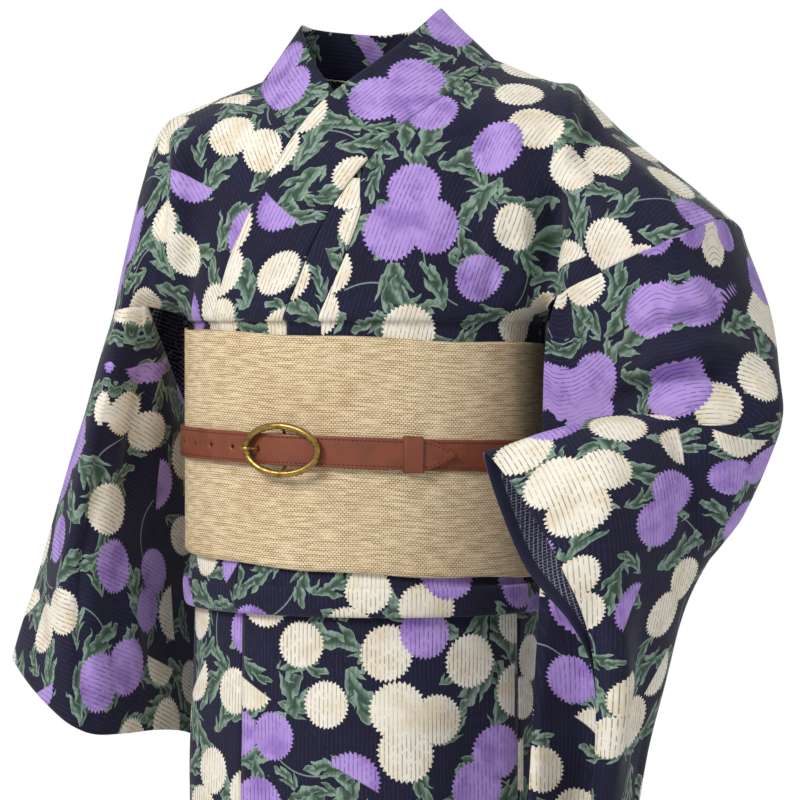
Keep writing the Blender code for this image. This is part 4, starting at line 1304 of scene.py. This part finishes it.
def dress_buckle(brass):
    rim = rim_out(BUCKLE_ANGLE) - 0.0008
    half_width = BUCKLE_WIDTH / 2 - BUCKLE_WIRE
    half_height = BUCKLE_HEIGHT / 2 - BUCKLE_WIRE
    turns = np.linspace(0, 2 * np.pi, 97)[:-1]
    ring = [buckle_point(half_width * np.cos(t), half_height * np.sin(t), rim) for t in turns]
    round_bar("buckle_ring", ring, BUCKLE_WIRE, brass, True, ["buckle_frame"], 18)
    bar_out = strap_out(BUCKLE_ANGLE + 360) - STRAP_WALL - 0.0004 - BAR_RADIUS
    clear = STRAP_WIDTH / 2 + 0.0008 + BAR_RADIUS
    bar = [buckle_point(0, up, out) for up, out in ((half_height, rim), (clear, bar_out), (-clear, bar_out),
                                                    (-half_height, rim))]
    round_bar("buckle_bar", bar, BAR_RADIUS, brass)
    hole = HOLE_ANGLES[0]
    under = STRAP_WALL + 0.0004 + PRONG_RADIUS
    over = rim + BUCKLE_WIRE + 0.0003 + PRONG_RADIUS
    rim_angle = BUCKLE_ANGLE - np.degrees(half_width / (WAIST_HALF_DEPTH + 0.026))
    beside_bar = BUCKLE_ANGLE - 1.6
    stations = ((beside_bar, strap_out(beside_bar + 360) - under), (hole, strap_out(hole + 360) - under),
                (hole, strap_out(hole + 360) + 0.0016), ((hole + rim_angle) / 2, over), (rim_angle, over),
                (rim_angle - 1.4, over - 0.0004))
    prong = [waist_point(angle, out, belt_z(angle)) for angle, out in stations]
    round_bar("buckle_tongue", prong, PRONG_RADIUS, brass, False, ["buckle_prong"])


# Stage

def area_light(name, place, aim, size, power, color=(1, 1, 1)):
    data = bpy.data.lights.new(name, "AREA")
    data.shape = "DISK"
    data.size = size
    data.energy = power
    data.color = color
    light = bpy.data.objects.new(name, data)
    light.location = place
    light.rotation_euler = (Vector(aim) - Vector(place)).to_track_quat("-Z", "Y").to_euler()
    bpy.context.scene.collection.objects.link(light)


def make_stage():
    right, towards = view_axes(CAMERA_AZIMUTH)
    camera = bpy.data.objects.new("camera", bpy.data.cameras.new("camera"))
    camera.data.lens = LENS
    place = towards * CAMERA_DISTANCE + right * AIM_ACROSS + (0, 0, CAMERA_Z)
    aim = right * AIM_ACROSS + (0, 0, AIM_Z)
    camera.location = place
    camera.rotation_euler = Vector(aim - place).to_track_quat("-Z", "Y").to_euler()
    bpy.context.scene.collection.objects.link(camera)
    bpy.context.scene.camera = camera

    floor_look, spot = new_look("pale_floor")
    color = blend(spot.noise(3.0, 2.0), srgb(FLOOR), srgb(FLOOR, 0.985))
    finish_look(floor_look, {"Base Color": color, "Roughness": 0.9})
    bpy.ops.mesh.primitive_plane_add(size=5, location=(0, 0, HEM_Z - 0.03))
    floor = bpy.context.object
    floor.name = "floor"
    floor.data.materials.append(floor_look)

    world = bpy.data.worlds.new("studio")
    world.use_nodes = True
    bpy.context.scene.world = world
    background = world.node_tree.nodes["Background"]
    seen = put(world.node_tree, "ShaderNodeLightPath")
    join(blend(seen, AMBIENT, 1.0, "FLOAT"), background.inputs["Strength"])
    join((1, 1, 1, 1), background.inputs["Color"])
    bpy.context.scene.view_settings.view_transform = "Standard"

    centre = (0, 0, -0.4)
    area_light("key", tuple(-1.5 * right + 1.7 * towards + (0, 0, 1.1)), centre, 0.9, 44, (1.0, 0.985, 0.96))
    area_light("fill", tuple(1.8 * right + 1.5 * towards + (0, 0, 0.2)), centre, 1.8, 7)
    area_light("back", tuple(0.6 * right - 1.9 * towards + (0, 0, 1.2)), centre, 1.6, 12)


def main():
    cotton = make_cotton()
    reverse = make_reverse()
    leather = make_leather()
    thread = make_thread()
    make_stage()
    dress_robe(cotton, reverse)
    dress_sash(make_sash_material())
    dress_strap(leather, thread)
    dress_keeper(leather)
    dress_buckle(make_brass())


main()
